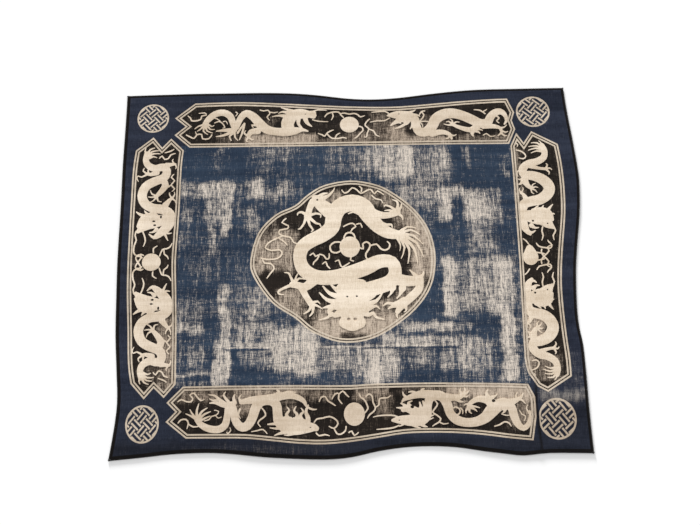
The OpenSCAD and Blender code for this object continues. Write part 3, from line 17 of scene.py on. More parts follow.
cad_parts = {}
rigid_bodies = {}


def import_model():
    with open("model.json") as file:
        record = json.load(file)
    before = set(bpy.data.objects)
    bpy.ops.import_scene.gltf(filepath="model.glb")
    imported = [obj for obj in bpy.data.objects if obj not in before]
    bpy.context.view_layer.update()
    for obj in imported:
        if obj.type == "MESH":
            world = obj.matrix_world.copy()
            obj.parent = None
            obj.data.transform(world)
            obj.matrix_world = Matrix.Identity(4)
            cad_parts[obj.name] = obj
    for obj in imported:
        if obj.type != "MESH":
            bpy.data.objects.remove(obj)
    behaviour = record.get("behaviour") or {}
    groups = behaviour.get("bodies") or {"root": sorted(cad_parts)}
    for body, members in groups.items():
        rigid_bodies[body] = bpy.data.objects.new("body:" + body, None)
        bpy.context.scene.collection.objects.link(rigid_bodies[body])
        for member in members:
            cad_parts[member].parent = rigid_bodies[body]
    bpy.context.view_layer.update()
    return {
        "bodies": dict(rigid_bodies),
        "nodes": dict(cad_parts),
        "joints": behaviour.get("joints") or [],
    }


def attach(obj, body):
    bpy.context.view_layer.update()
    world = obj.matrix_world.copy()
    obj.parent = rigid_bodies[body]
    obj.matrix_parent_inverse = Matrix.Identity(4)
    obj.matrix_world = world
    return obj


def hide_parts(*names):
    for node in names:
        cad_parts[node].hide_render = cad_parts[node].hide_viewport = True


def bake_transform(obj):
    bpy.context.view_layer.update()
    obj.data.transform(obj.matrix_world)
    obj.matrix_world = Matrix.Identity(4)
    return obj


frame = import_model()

LOG = logging.getLogger("carpet")
MM = 0.001
HINGE = frame["joints"][0]
FOLD_Y = HINGE["pos_m"][1]
BLEND_REACH = 30 * MM
BODY_FAR, BODY_NEAR = HINGE["parent"], HINGE["child"]
BUMP_STRENGTH = 0.7
WOOL_GLOSS = 0.04
SHEEN_ROUGHNESS = 0.8
NOISE_ROUGHNESS = 0.6
NOISE_SPREAD = 2.4
BASE_NODES = ("foundation", "foundation_flap")


class Level(Enum):
    """How a zone of pile lies against its neighbours."""

    MOTIF = 0
    FULL = 1
    LOW = 2


# ---- Shader maths ------------------------------------------------------------------------------


def linear(rgb: tuple[float, float, float]) -> tuple[float, float, float, float]:
    """Turns a display colour from 0 to 255 into the linear colour that a shader takes.

    Args:
        rgb: Red, green and blue from 0 to 255.

    Returns:
        The linear red, green, blue and an alpha of 1.
    """
    out = []
    for value in rgb:
        c = value / 255
        out.append(c / 12.92 if c <= 0.04045 else ((c + 0.055) / 1.055) ** 2.4)
    return (out[0], out[1], out[2], 1.0)


class Val:
    """One output socket, with arithmetic that adds Math nodes."""

    def __init__(self, shader: "Shader", socket: bpy.types.NodeSocket) -> None:
        """Keeps the shader that owns the socket.

        Args:
            shader: The material's node builder.
            socket: The output socket.
        """
        self.shader = shader
        self.socket = socket

    def __add__(self, other: "Val | float") -> "Val":
        """Adds."""
        return self.shader.maths("ADD", self, other)

    __radd__ = __add__

    def __sub__(self, other: "Val | float") -> "Val":
        """Subtracts."""
        return self.shader.maths("SUBTRACT", self, other)

    def __rsub__(self, other: "Val | float") -> "Val":
        """Subtracts this from a number."""
        return self.shader.maths("SUBTRACT", other, self)

    def __mul__(self, other: "Val | float") -> "Val":
        """Multiplies."""
        return self.shader.maths("MULTIPLY", self, other)

    __rmul__ = __mul__

    def sin(self) -> "Val":
        """Sine."""
        return self.shader.maths("SINE", self)

    def step(self, low: float, high: float) -> "Val":
        """Rises smoothly from 0 at low to 1 at high.

        Args:
            low: Value below which the result is 0.
            high: Value above which the result is 1.

        Returns:
            The share from 0 to 1.
        """
        return self.shader.node(
            "ShaderNodeMapRange", {"interpolation_type": "SMOOTHSTEP"}, {0: self, 1: low, 2: high}
        )


class Shader:
    """Builds one material's nodes."""

    def __init__(self, name: str) -> None:
        """Starts an empty material.

        Args:
            name: The finish's name.
        """
        self.material = bpy.data.materials.new(name)
        self.material.use_nodes = True
        self.tree = self.material.node_tree
        self.tree.nodes.clear()

    def node(self, kind: str, settings: dict | None = None, inputs: dict | None = None,
             out: int | str = 0) -> Val:
        """Adds one node.

        Args:
            kind: The node's type.
            settings: Its settings, made before its sockets are filled.
            inputs: Values or links by socket index or name.
            out: The output that is wanted.

        Returns:
            That output.
        """
        made = self.tree.nodes.new(kind)
        for key, value in (settings or {}).items():
            setattr(made, key, value)
        for key, value in (inputs or {}).items():
            if isinstance(value, Val):
                self.tree.links.new(value.socket, made.inputs[key])
            else:
                made.inputs[key].default_value = value
        return Val(self, made.outputs[out])

    def maths(self, operation: str, *values: "Val | float") -> Val:
        """Adds a Math node.

        Args:
            operation: The node's operation.
            values: Its one or two values.

        Returns:
            The result.
        """
        return self.node("ShaderNodeMath", {"operation": operation}, dict(enumerate(values)))

    def mix(self, share: Val, a: "Val | tuple", b: "Val | tuple", blend: str = "MIX") -> Val:
        """Mixes two colours.

        Args:
            share: How much of the second colour.
            a: First colour.
            b: Second colour.
            blend: MIX, or MULTIPLY to tint the first colour with the second.

        Returns:
            The mixed colour.
        """
        return self.node("ShaderNodeMix", {"data_type": "RGBA", "blend_type": blend},
                         {0: share, 6: a, 7: b}, 2)

    def attribute(self, name: str, out: str) -> Val:
        """Reads an attribute of the mesh.

        Args:
            name: The attribute.
            out: Fac for a number, Vector for a place, Color for a colour.

        Returns:
            Its value.
        """
        return self.node("ShaderNodeAttribute", {"attribute_name": name}, None, out)

    def axis(self, place: Val, which: int) -> Val:
        """One coordinate of a place: 0 for x, 1 for y."""
        return self.node("ShaderNodeSeparateXYZ", None, {0: place}, which)

    def noise(self, place: Val, stretch: tuple[float, float, float], detail: float = 2.0,
              offset: float = 0.0) -> Val:
        """Adds a soft noise with its own scale along each axis.

        Args:
            place: Where on the carpet, in metres.
            stretch: Cells per metre along x, y and z.
            detail: Octaves.
            offset: Shift, so that two noises differ.

        Returns:
            A value round 0, mostly within -0.5 and 0.5.
        """
        moved = self.node("ShaderNodeVectorMath", {"operation": "MULTIPLY_ADD"},
                          {0: place, 1: stretch, 2: (offset, offset * 0.7, 0.0)})
        flat = self.node("ShaderNodeTexNoise", {"noise_dimensions": "2D"},
                         {"Vector": moved, "Scale": 1.0, "Detail": detail,
                          "Roughness": NOISE_ROUGHNESS})
        return (flat - 0.5) * NOISE_SPREAD

    def close(self, colour: Val, height: Val, relief: float, roughness: "Val | float",
              sheen: float) -> bpy.types.Material:
        """Ends the material with its surface.

        Args:
            colour: Base colour.
            height: Relief pattern from about -1 to 1.
            relief: How far the relief stands, in metres.
            roughness: Roughness.
            sheen: Weight of the soft sheen that wool has.

        Returns:
            The finished material.
        """
        bump = self.node("ShaderNodeBump", None, {
            "Strength": BUMP_STRENGTH, "Distance": relief, "Height": height})
        surface = self.node("ShaderNodeBsdfPrincipled", None, {
            "Base Color": colour, "Roughness": roughness, "Normal": bump,
            "Specular IOR Level": WOOL_GLOSS, "Sheen Weight": sheen,
            "Sheen Roughness": SHEEN_ROUGHNESS})
        self.node_out(surface)
        return self.material

    def node_out(self, surface: Val) -> None:
        """Links the surface to the material's output."""
        end = self.tree.nodes.new("ShaderNodeOutputMaterial")
        self.tree.links.new(surface.socket, end.inputs["Surface"])


# ---- Finishes ----------------------------------------------------------------------------------


@dataclass(frozen=True)
class Yarn:
    """A dyed pile yarn, its colours fresh and worn, and how it wears."""

    name: str
    deep: tuple[float, float, float]
    light: tuple[float, float, float]
    worn_deep: tuple[float, float, float]
    worn_light: tuple[float, float, float]
    give: float = 1.0
    streak: float = 1.0
    # How far the soil attribute darkens the yarn, and the tint that it darkens towards; the
    # attribute holds real soil and a painted shade line along the crease ridge.
    soil_and_shade_depth: float = 0.4
    soil_and_shade_tint: tuple[float, float, float, float] = (0.34, 0.26, 0.20, 1.0)
    sheen: float = 0.02
    knot: float = 3.2 * MM
    relief: float = 0.5 * MM

    def material(self) -> bpy.types.Material:
        """Makes the yarn's material.

        Returns:
            Pile with uneven dye, knot rows and nap, brushed down to the cotton where it is worn,
            and darkened by real soil and by painted shade along the crease ridge.
        """
        sh = Shader(self.name)
        rest = sh.attribute("rest", "Vector")
        wear = sh.attribute("wear", "Fac")
        # Soil level: real soil, with painted shade along the crease ridge.
        soil = sh.attribute("soil", "Fac")
        across = sh.axis(rest, 0)
        row = sh.axis(rest, 1)
        broad = sh.noise(rest, (2.2, 2.2, 0.0), 3.0, 3.1)
        dye_lots = sh.noise(rest, (0.7, 17.0, 0.0), 2.0, 8.4)
        warp_bands = sh.noise(rest, (34.0, 3.0, 0.0), 2.0, 2.3)
        weft_bands = sh.noise(rest, (3.5, 30.0, 0.0), 2.0, 6.7)
        warps = sh.noise(rest, (135.0, 17.0, 0.0), 2.0, 5.2)
        wefts = sh.noise(rest, (17.0, 120.0, 0.0), 2.0, 1.7)
        grain = sh.noise(rest, (170.0, 170.0, 0.0), 2.0, 9.9)
        tone = broad * 0.3 + dye_lots * 0.3 + warps * 0.25 + wefts * 0.15 + grain * 0.35 + 0.5
        fresh = sh.mix(tone.step(0.0, 1.0), linear(self.deep), linear(self.light))
        bare_tone = warps * 0.5 + wefts * 0.25 + grain * 0.45 + warp_bands * 0.3 + wear * 0.45 + 0.2
        worn = sh.mix(bare_tone.step(0.0, 1.0), linear(self.worn_deep), linear(self.worn_light))
        brushed = warps * 0.36 + wefts * 0.24 + grain * 0.34 + warp_bands * 0.34 + weft_bands * 0.28
        ragged = brushed * self.streak * (wear * 0.4 + 0.72)
        share = (wear * self.give + ragged).step(0.12, 0.92)
        # Darkens the yarn by real soil and by the painted shade along the crease ridge.
        colour = sh.mix(soil * self.soil_and_shade_depth, sh.mix(share, fresh, worn), self.soil_and_shade_tint, "MULTIPLY")
        turn = 2 * math.pi / self.knot
        knots = (row * turn).sin() * 0.4 + (across * turn).sin() * 0.25
        height = knots + grain * 0.8 + warps * 0.5 - share * 0.4
        return sh.close(colour, height, self.relief, 0.88 + grain * 0.08, self.sheen)


@dataclass(frozen=True)
class KnotBacks:
    """The back of the carpet, where the knots show the design in flat, duller colour."""

    name: str = "knot_backs"
    pitch: float = 3.2 * MM

    def material(self) -> bpy.types.Material:
        """Makes the back's material.

        Returns:
            Rows of knot backs in each zone's yarn, with cotton wefts between them.
        """
        sh = Shader(self.name)
        rest = sh.attribute("rest", "Vector")
        yarn = sh.attribute("yarn", "Color")
        row = sh.axis(rest, 1)
        across = sh.axis(rest, 0)
        turn = 2 * math.pi / self.pitch
        wefts = (row * turn).sin()
        nodules = (across * turn).sin()
        grain = sh.noise(rest, (260.0, 260.0, 0.0), 2.0, 4.0)
        dye_lots = sh.noise(rest, (0.7, 17.0, 0.0), 2.0, 8.4)
        cotton = (wefts * 0.5 + grain * 0.6 + dye_lots * 0.3).step(0.25, 1.0)
        colour = sh.mix(cotton * 0.5, yarn, linear((168, 156, 136)))
        height = wefts * 0.5 + nodules * 0.4 + grain * 0.5
        return sh.close(colour, height, 0.5 * MM, 0.9, 0.05)


@dataclass(frozen=True)
class Web:
    """Plain cotton web, seen on the edge of the base."""

    name: str = "cotton_web"
    tint: tuple[float, float, float] = (176, 162, 138)
    shade: tuple[float, float, float] = (120, 106, 86)

    def material(self) -> bpy.types.Material:
        """Makes the web's material.

        Returns:
            Soiled cotton in a plain weave.
        """
        sh = Shader(self.name)
        rest = sh.attribute("rest", "Vector")
        grain = sh.noise(rest, (240.0, 240.0, 0.0), 2.0, 2.0)
        soil = sh.noise(rest, (6.0, 6.0, 0.0), 3.0, 6.0)
        tone = (grain * 0.5 + soil * 0.5 + 0.5).step(0.0, 1.0)
        colour = sh.mix(tone, linear(self.shade), linear(self.tint))
        return sh.close(colour, grain, 0.4 * MM, 0.92, 0.05)


@dataclass(frozen=True)
class Whipping:
    """Wool wound or woven along an edge, in turns across it."""

    name: str
    dark: tuple[float, float, float]
    pale: tuple[float, float, float]
    pitch: float = 3.6 * MM
    slant: float = 0.25

    def material(self) -> bpy.types.Material:
        """Makes the edge's material.

        Returns:
            Turns of yarn side by side, rubbed paler on their crowns.
        """
        sh = Shader(self.name)
        run = sh.attribute("run", "Vector")
        along = sh.axis(run, 0)
        around = sh.axis(run, 1)
        turns = ((along + around * self.slant * self.pitch) * (2 * math.pi / self.pitch)).sin()
        fuzz = sh.noise(run, (300.0, 6.0, 0.0), 2.0, 1.0)
        rubbed = sh.noise(run, (9.0, 0.7, 0.0), 3.0, 7.0)
        tone = turns * 0.2 + fuzz * 0.4 + rubbed * 0.7 + 0.3
        colour = sh.mix(tone.step(0.0, 1.1), linear(self.dark), linear(self.pale))
        return sh.close(colour, turns * 0.8 + fuzz * 0.4, 0.8 * MM, 0.88, 0.1)


INDIGO_FIELD = Yarn("field_wool", (26, 39, 57), (53, 68, 87), (116, 112, 110), (226, 214, 200),
                    give=0.9)
INDIGO_BORDER = Yarn("border_wool", (22, 27, 40), (48, 54, 70), (66, 68, 76), (150, 144, 138),
                     give=0.8, streak=0.55, soil_and_shade_depth=0.5)
DARK_GROUND = Yarn("dark_wool", (18, 14, 11), (42, 35, 30), (92, 78, 67), (206, 189, 170),
                   streak=0.72)
BAND_BROWN = Yarn("brown_wool", (6, 4, 3), (20, 15, 13), (22, 17, 15), (42, 35, 30),
                  give=0.3, streak=0.4)
IVORY = Yarn("ivory_wool", (206, 187, 162), (250, 236, 217), (190, 168, 142), (238, 222, 201),
             give=0.6, streak=0.9, relief=0.7 * MM)
IVORY_LINE = Yarn("line_wool", (178, 163, 144), (226, 211, 191), (160, 148, 134), (218, 204, 186),
                  give=0.7, streak=0.7)
OVERCAST = Whipping("side_cord_wool", (7, 5, 4), (28, 22, 19))
END_WEAVE = Whipping("end_web", (8, 6, 5), (32, 26, 23), pitch=4.2 * MM, slant=0.0)


# ---- Where the carpet has worn -----------------------------------------------------------------


def smooth(t: np.ndarray) -> np.ndarray:
    """Smooths values between 0 and 1, and cuts the rest off there."""
    t = np.clip(t, 0, 1)
    return t * t * (3 - 2 * t)


@dataclass(frozen=True)
class Patch:
    """A patch of the carpet at one level of wear or soil, with soft edges, in metres."""

    x0: float
    x1: float
    y0: float
    y1: float
    level: float
    soft: float = 0.07

    def share(self, p: np.ndarray) -> np.ndarray:
        """How much each point belongs to the patch.

        Args:
            p: Points, one row each.

        Returns:
            Shares from 0 to 1.
        """
        total = np.ones(len(p))
        for axis, low, high in ((0, self.x0, self.x1), (1, self.y0, self.y1)):
            edge = np.minimum(p[:, axis] - low, high - p[:, axis])
            total *= smooth(edge / self.soft + 0.5)
        return total


def patches(*rows: tuple[float, ...]) -> tuple[Patch, ...]:
    """Makes patches from rows of x0, x1, y0, y1, level and, where it isn't the usual, soft."""
    return tuple(Patch(*row) for row in rows)


FIELD_WEAR = patches(
    # far left
    (-1.42, 0.00, 0.00, 1.06, 0.16, 0.20),
    (-1.42, -0.83, 0.76, 1.06, 0.05, 0.06),
    (-1.10, -1.05, 0.80, 1.04, 0.36, 0.04),
    (-0.80, -0.46, 0.91, 1.05, 0.34, 0.07),
    (-0.61, -0.50, 0.93, 1.05, 0.48),
    (-0.76, -0.66, 0.80, 0.93, 0.30),
    (-0.45, -0.20, 0.76, 1.05, 0.16, 0.08),
    (-0.19, -0.04, 0.82, 1.03, 0.36, 0.07),
    (-1.38, -1.20, 0.61, 0.73, 0.48, 0.04),
    (-1.22, -0.94, 0.58, 0.735, 0.78, 0.04),
    (-1.18, -0.98, 0.38, 0.60, 0.62, 0.08),
    (-1.15, -1.08, 0.06, 0.42, 0.50),
    (-1.03, -0.97, 0.27, 0.62, 0.78, 0.04),
    (-0.92, -0.89, 0.42, 0.72, 0.46, 0.03),
    (-0.85, -0.71, 0.57, 0.75, 0.80),
    (-0.71, -0.46, 0.58, 0.66, 0.52),
    (-0.59, -0.48, 0.64, 0.75, 0.54),
    (-0.47, -0.38, 0.59, 0.66, 0.42),
    (-0.86, -0.75, 0.30, 0.50, 0.52),
    (-1.36, -1.27, 0.38, 0.53, 0.48),
    (-1.40, -1.30, 0.18, 0.34, 0.38),
    # far right
    (0.00, 1.36, 0.00, 1.06, 0.24, 0.20),
    (0.84, 1.36, 0.66, 1.06, 0.04, 0.08),
    (0.67, 0.93, 0.08, 0.37, 0.17, 0.06),
    (1.20, 1.36, 0.08, 0.62, 0.16, 0.06),
    (0.02, 0.13, 0.80, 1.00, 0.46),
    (0.13, 0.26, 0.80, 1.04, 0.60),
    (0.25, 0.37, 0.72, 1.04, 0.80),
    (0.37, 0.53, 0.76, 1.04, 0.90),
    (0.52, 0.82, 0.70, 1.01, 0.52, 0.07),
    (0.70, 0.80, 0.80, 1.00, 0.64),
    (0.41, 0.66, 0.47, 0.70, 0.52, 0.07),
    (0.60, 0.92, 0.56, 0.67, 0.72),
    (0.72, 0.82, 0.36, 0.60, 0.90),
    (0.84, 0.92, 0.37, 0.56, 0.14),
    (0.92, 1.13, 0.37, 0.63, 0.84),
    (1.10, 1.22, 0.35, 0.62, 0.54),
    (0.95, 1.10, 0.10, 0.38, 0.52),
    (1.04, 1.16, 0.11, 0.20, 0.60),
    (0.94, 1.00, 0.82, 1.00, 0.42),
    (1.24, 1.30, 0.72, 0.95, 0.44),
    # near left
    (-1.42, 0.00, -0.98, 0.00, 0.24, 0.10),
    (-1.42, -1.04, -0.28, 0.02, 0.14, 0.08),
    (-1.20, -1.05, -0.10, 0.08, 0.30),
    (-1.36, -1.12, -0.44, -0.26, 0.38, 0.08),
    (-1.38, -1.15, -0.535, -0.46, 0.60, 0.04),
    (-1.15, -1.07, -0.90, -0.40, 0.10),
    (-0.92, -0.78, -0.48, -0.16, 0.40, 0.07),
    (-0.83, -0.66, -0.43, -0.18, 0.56, 0.06),
    (-0.92, -0.60, -0.67, -0.47, 0.66, 0.06),
    (-0.77, -0.69, -0.62, -0.54, 0.30),
    (-0.63, -0.42, -0.86, -0.49, 0.80, 0.07),
    (-0.43, -0.27, -0.88, -0.50, 0.86, 0.07),
    (-0.27, 0.00, -0.86, -0.66, 0.55, 0.07),
    (-0.95, -0.62, -0.98, -0.82, 0.10, 0.06),
    (-0.92, -0.64, -0.80, -0.67, 0.44, 0.06),
    (-0.95, -0.89, -0.90, -0.66, 0.10, 0.04),
    (-1.045, -0.975, -0.40, -0.14, 0.70, 0.04),
    (-1.025, -0.955, -0.66, -0.36, 0.74, 0.04),
    (-1.09, -0.95, -0.96, -0.62, 0.80, 0.04),
    (-1.25, -1.16, -0.82, -0.62, 0.52),
    (-1.38, -1.29, -0.80, -0.62, 0.38),
    (-1.38, -1.06, -0.885, -0.855, 0.62, 0.025),
    # near right
    (0.00, 1.36, -0.98, 0.00, 0.30, 0.10),
    (0.46, 0.73, -0.47, -0.06, 0.08, 0.06),
    (0.90, 1.16, -0.61, -0.42, 0.12, 0.06),
    (0.36, 0.80, -0.98, -0.83, 0.12, 0.06),
    (0.72, 0.83, -0.43, 0.06, 0.86, 0.04),
    (0.84, 0.92, -0.26, 0.00, 0.52),
    (0.92, 1.12, -0.22, 0.06, 0.66, 0.06),
    (0.84, 1.16, -0.38, -0.21, 0.64, 0.06),
    (1.13, 1.28, -0.41, 0.05, 0.80),
    (0.38, 0.80, -0.545, -0.475, 0.74, 0.03),
    (0.80, 0.95, -0.54, -0.48, 0.48, 0.04),
    (0.33, 0.82, -0.668, -0.585, 0.70, 0.03),
    (1.16, 1.27, -0.94, -0.40, 0.90, 0.04),
    (0.83, 1.00, -0.87, -0.60, 0.66, 0.06),
    (1.00, 1.09, -0.84, -0.62, 0.54),
    (0.00, 0.11, -0.90, -0.66, 0.62),
    (0.11, 0.23, -0.97, -0.66, 1.12),
    (0.23, 0.35, -0.93, -0.56, 0.72),
    (0.44, 0.62, -0.84, -0.69, 0.44, 0.06),
    (0.69, 0.79, -0.87, -0.69, 0.60),
    # along the old fold
    (-0.98, 0.82, -0.668, -0.655, 0.86, 0.012),
    (-0.98, -0.64, -0.682, -0.670, 0.10, 0.012),
    (0.10, 0.82, -0.682, -0.670, 0.10, 0.012),
)
GROUND_WEAR = patches(
    # medallion
    (-0.90, 0.80, -0.70, 0.76, 0.10, 0.10),
    (-0.80, -0.44, -0.07, 0.31, 0.70, 0.08),
    (-0.76, -0.60, 0.26, 0.44, 0.34, 0.08),
    (-0.70, -0.50, -0.21, -0.04, 0.04, 0.07),
    (-0.60, -0.36, -0.45, -0.17, 0.66, 0.09),
    (-0.37, -0.27, 0.44, 0.62, 0.30, 0.06),
    (-0.22, -0.04, 0.52, 0.63, 0.66),
    (0.08, 0.36, 0.50, 0.68, 0.52, 0.08),
    (0.34, 0.56, 0.30, 0.52, 0.64, 0.08),
    (0.47, 0.70, -0.12, 0.46, 0.86, 0.09),
    (0.34, 0.60, -0.38, -0.12, 0.56, 0.08),
    (0.16, 0.34, -0.44, -0.28, 0.62, 0.06),
    (-0.32, -0.12, -0.54, -0.34, 0.56, 0.08),
    (-0.28, 0.42, -0.60, -0.42, 1.00, 0.07),
    (-0.10, 0.12, -0.62, -0.55, 0.34, 0.04),
    # far cartouche
    (-1.12, -0.88, 1.05, 1.18, 0.34, 0.06),
    (-0.86, -0.28, 1.05, 1.15, 0.94, 0.06),
    (-0.72, -0.60, 1.16, 1.32, 0.36, 0.06),
    (-0.30, 0.02, 1.05, 1.12, 0.48, 0.06),
    (0.00, 0.22, 1.05, 1.17, 0.56, 0.07),
    (0.16, 0.36, 1.05, 1.34, 0.48, 0.09),
    (0.33, 0.47, 1.10, 1.22, 0.80, 0.06),
    (0.34, 0.84, 1.05, 1.13, 0.80, 0.06),
    (0.50, 0.82, 1.16, 1.30, 0.34, 0.08),
    (0.88, 1.34, 1.05, 1.12, 0.52, 0.06),
    # near cartouche
    (-1.34, -1.02, -1.09, -0.95, 0.50, 0.07),
    (-1.02, -0.84, -1.08, -0.95, 0.46, 0.07),
    (-0.90, -0.77, -1.20, -0.98, 0.64, 0.07),
    (-0.86, -0.38, -1.04, -0.95, 0.80, 0.05),
    (-0.60, -0.42, -1.20, -1.04, 0.34, 0.07),
    (-0.40, -0.13, -1.09, -0.95, 0.48, 0.07),
    (0.00, 0.30, -1.09, -0.95, 0.64, 0.08),
    (0.17, 0.29, -1.22, -1.04, 0.52, 0.07),
    (0.36, 0.72, -1.04, -0.95, 0.40, 0.06),
    (0.70, 0.92, -1.18, -0.98, 0.48, 0.07),
    (0.72, 1.42, -1.07, -0.95, 1.08, 0.06),
    (1.08, 1.42, -1.12, -0.98, 1.02, 0.06),
    (1.18, 1.42, -1.32, -1.10, 0.55, 0.08),
    # left and right cartouches
    (-1.52, -1.38, -1.00, -0.40, 0.62, 0.06),
    (-1.60, -1.46, -0.95, -0.76, 0.34, 0.08),
    (1.30, 1.41, -0.95, -0.28, 0.76, 0.05),
    (1.36, 1.50, -0.62, -0.40, 0.94, 0.06),
    (1.42, 1.62, -0.96, -0.76, 0.52, 0.08),
    (1.32, 1.41, 0.28, 1.00, 0.46, 0.05),
)
BORDER_WEAR = patches(
    (1.42, 1.92, -1.12, -1.02, 0.80, 0.06),
    (1.60, 1.86, -1.02, -0.70, 0.34, 0.10),
    (-1.30, -0.20, -1.50, -1.42, 0.34, 0.08),
)
SOIL = patches(
    (-1.92, 1.92, -1.60, -1.36, 1.15, 0.14),
    (1.44, 1.92, -1.60, -1.10, 0.90, 0.14),
    (-1.92, 1.42, -1.38, -0.98, 0.38, 0.10),
    (-1.26, -0.80, -1.10, -0.98, 0.85, 0.10),
    (-1.68, -1.38, -1.05, 1.12, 0.34, 0.06),
    (-1.46, -1.38, -0.98, 0.20, 0.50, 0.05),
    (1.36, 1.70, -1.00, 1.00, 0.16, 0.10),
    (-1.60, 1.60, 1.02, 1.44, 0.22, 0.10),
    # the four cartouches
    (-1.34, 0.80, -1.31, -1.00, 0.85, 0.08),
    (0.72, 1.38, -1.31, -1.12, 0.75, 0.08),
    (-1.32, 1.32, 1.08, 1.36, 0.50, 0.06),
    (-1.62, -1.42, -0.95, 0.95, 0.50, 0.05),
    (1.42, 1.64, -0.90, 0.95, 0.28, 0.05),
)
WEAR = {
    "field_wool": (FIELD_WEAR, 0.20),
    "dark_wool": (GROUND_WEAR, 0.10),
    "border_wool": (BORDER_WEAR, 0.08),
}
IVORY_WEAR = (GROUND_WEAR, 0.20)


def wander(p: np.ndarray) -> np.ndarray:
    """Shifts points a little, so that what follows them has uneven edges.

    Args:
        p: Points, one row each.

    Returns:
        The shifted points.
    """
    x, y = p[:, 0], p[:, 1]
    dx = 0.010 * np.sin(21 * y + 1.3 + 2 * np.sin(6 * x)) + 0.006 * np.sin(57 * y + 9 * x)
    dy = 0.009 * np.sin(19 * x + 0.4 + 2 * np.sin(5 * y)) + 0.006 * np.sin(49 * x - 11 * y)
    off_fold = smooth((np.abs(y - FOLD_Y) - 0.02) / 0.05)
    return np.column_stack([x + dx, y + dy * off_fold])


def levels(patches: tuple[Patch, ...], start: float, p: np.ndarray) -> np.ndarray:
    """Lays patches over one another.

    Args:
        patches: The patches, later ones on top.
        start: Level where no patch lies.
        p: Points, one row each.

    Returns:
        The level at each point.
    """
    p = wander(p)
    total = np.full(len(p), start)
    for patch in patches:
        share = patch.share(p)
        total = total * (1 - share) + patch.level * share
    return total


@dataclass
class Lie:
    """How the carpet lies: nearly flat, with a pinched ridge and slightly lifted edges."""

    ridge_x: float = 1.402
    ridge_top: float = 9.3 * MM
    ridge_rise: float = 24 * MM
    ridge_fall: float = 8 * MM
    ridge_from: float = -0.86
    ridge_fade: float = 0.22
    ridge_sway: float = 10 * MM
    edge_lift: float = 5.5 * MM
    wave: float = 1.6 * MM
    ripple: float = 1.5 * MM
    half: tuple[float, float] = (1.85, 1.52)
    flat_fold: float = 0.05
    fold_fade: float = 0.25

    def ridge(self, p: np.ndarray) -> np.ndarray:
        """Tells how close each point is to the crest of the ridge.

        Args:
            p: Points, one row each.

        Returns:
            Shares from 0 to 1 at the crest.
        """
        x, y = p[:, 0], p[:, 1]
        off = x - self.ridge_x - self.ridge_sway * np.sin(7 * y)
        wide = np.where(off < 0, self.ridge_rise, self.ridge_fall)
        return np.exp(-((off / wide) ** 2)) * smooth((self.ridge_from - y) / self.ridge_fade)

    def height(self, p: np.ndarray) -> np.ndarray:
        """How far the underside stands off the floor.

        Args:
            p: Points, one row each.

        Returns:
            Heights in metres, never below 0.
        """
        x, y = p[:, 0], p[:, 1]
        off_fold = smooth((np.abs(y - FOLD_Y) - self.flat_fold) / self.fold_fade)
        waves = self.wave * (0.5 + 0.5 * np.sin(3.1 * x + 0.6) * np.sin(2.3 * y + 1.1))
        toward_edge = np.maximum(np.abs(x) / self.half[0], np.abs(y) / self.half[1])
        curl = smooth((toward_edge - 0.93) / 0.07)
        curl = curl * self.edge_lift * (0.45 + 0.35 * np.sin(2.6 * x + 0.4) * np.cos(2.9 * y))
        ripples = smooth((toward_edge - 0.80) / 0.12) * self.ripple
        ripples = ripples * (0.5 + 0.5 * np.sin(13 * x + 2.0) * np.sin(15 * y + 0.7))
        ridge = self.ridge(p)
        return (waves + curl + ripples) * off_fold * (1 - ridge) + ridge * self.ridge_top


LIE = Lie()


# ---- The plan of the carpet --------------------------------------------------------------------


@dataclass(frozen=True)
class Zone:
    """One piece of pile: the frame nodes that it stands for, and how it is finished."""

    name: str
    nodes: tuple[str, ...]
    slot: str
    yarn: Yarn
    level: Level

    @property
    def bodies(self) -> list[str]:
        """The bodies that its nodes belong to, the far one first."""
        return bodies_of(self.nodes)


def bodies_of(nodes: tuple[str, ...]) -> list[str]:
    """Finds the bodies that some nodes belong to.

    Args:
        nodes: The nodes' names.

    Returns:
        The bodies, the far one first.
    """
    return [body for body in (BODY_FAR, BODY_NEAR)
            if any(frame["nodes"][node].parent == frame["bodies"][body] for node in nodes)]


def zone(name: str, slot: str, yarn: Yarn, level: Level) -> Zone:
    """Makes a zone from a node, together with its part beyond the fold.

    Args:
        name: The node's name.
        slot: The material slot.
        yarn: The finish.
        level: How the zone lies.

    Returns:
        The zone.
    """
    nodes = tuple(n for n in (name, name + "_flap") if n in frame["nodes"])
    return Zone("knotted_" + name, nodes, slot, yarn, level)


def all_zones() -> list[Zone]:
    """Lists the zones of pile, the motifs first.

    Returns:
        The zones. Where two claim a triangle, the earlier one has it.
    """
    ends, sides = ("far", "near"), ("left", "right")
    panels = (*ends, *sides, "medallion")
    motifs = ["medallion_dragon", "medallion_pearl", "medallion_clouds"]
    motifs += [f"{a}_{b}_dragon" for a in ends for b in sides]
    motifs += [f"{a}_{b}_dragon" for a in sides for b in ends]
    motifs += [f"{panel}_{kind}" for panel in (*ends, *sides) for kind in ("pearl", "clouds")]
    zones = [zone(name, "ivory_wool", IVORY, Level.MOTIF) for name in motifs]
    zones += [zone(f"{a}_{b}_roundel", "ivory_wool", IVORY_LINE, Level.FULL)
              for a in ends for b in sides]
    zones += [zone(f"{panel}_lines", "line_wool", IVORY_LINE, Level.FULL) for panel in panels]
    zones.append(zone("field_pile", "field_wool", INDIGO_FIELD, Level.FULL))
    zones.append(zone("border_pile", "border_wool", INDIGO_BORDER, Level.FULL))
    zones.append(zone("guard_band", "brown_wool", BAND_BROWN, Level.FULL))
    zones += [zone(f"{panel}_ground", "dark_wool", DARK_GROUND, Level.LOW) for panel in panels]
    return zones


TOP_SLACK = 0.1 * MM
FOLD_GAP = 0.6 * MM
WELD = 0.002 * MM
LARGEST_BLOCK = 4_000_000
LEVEL_EDGE = 1e-12


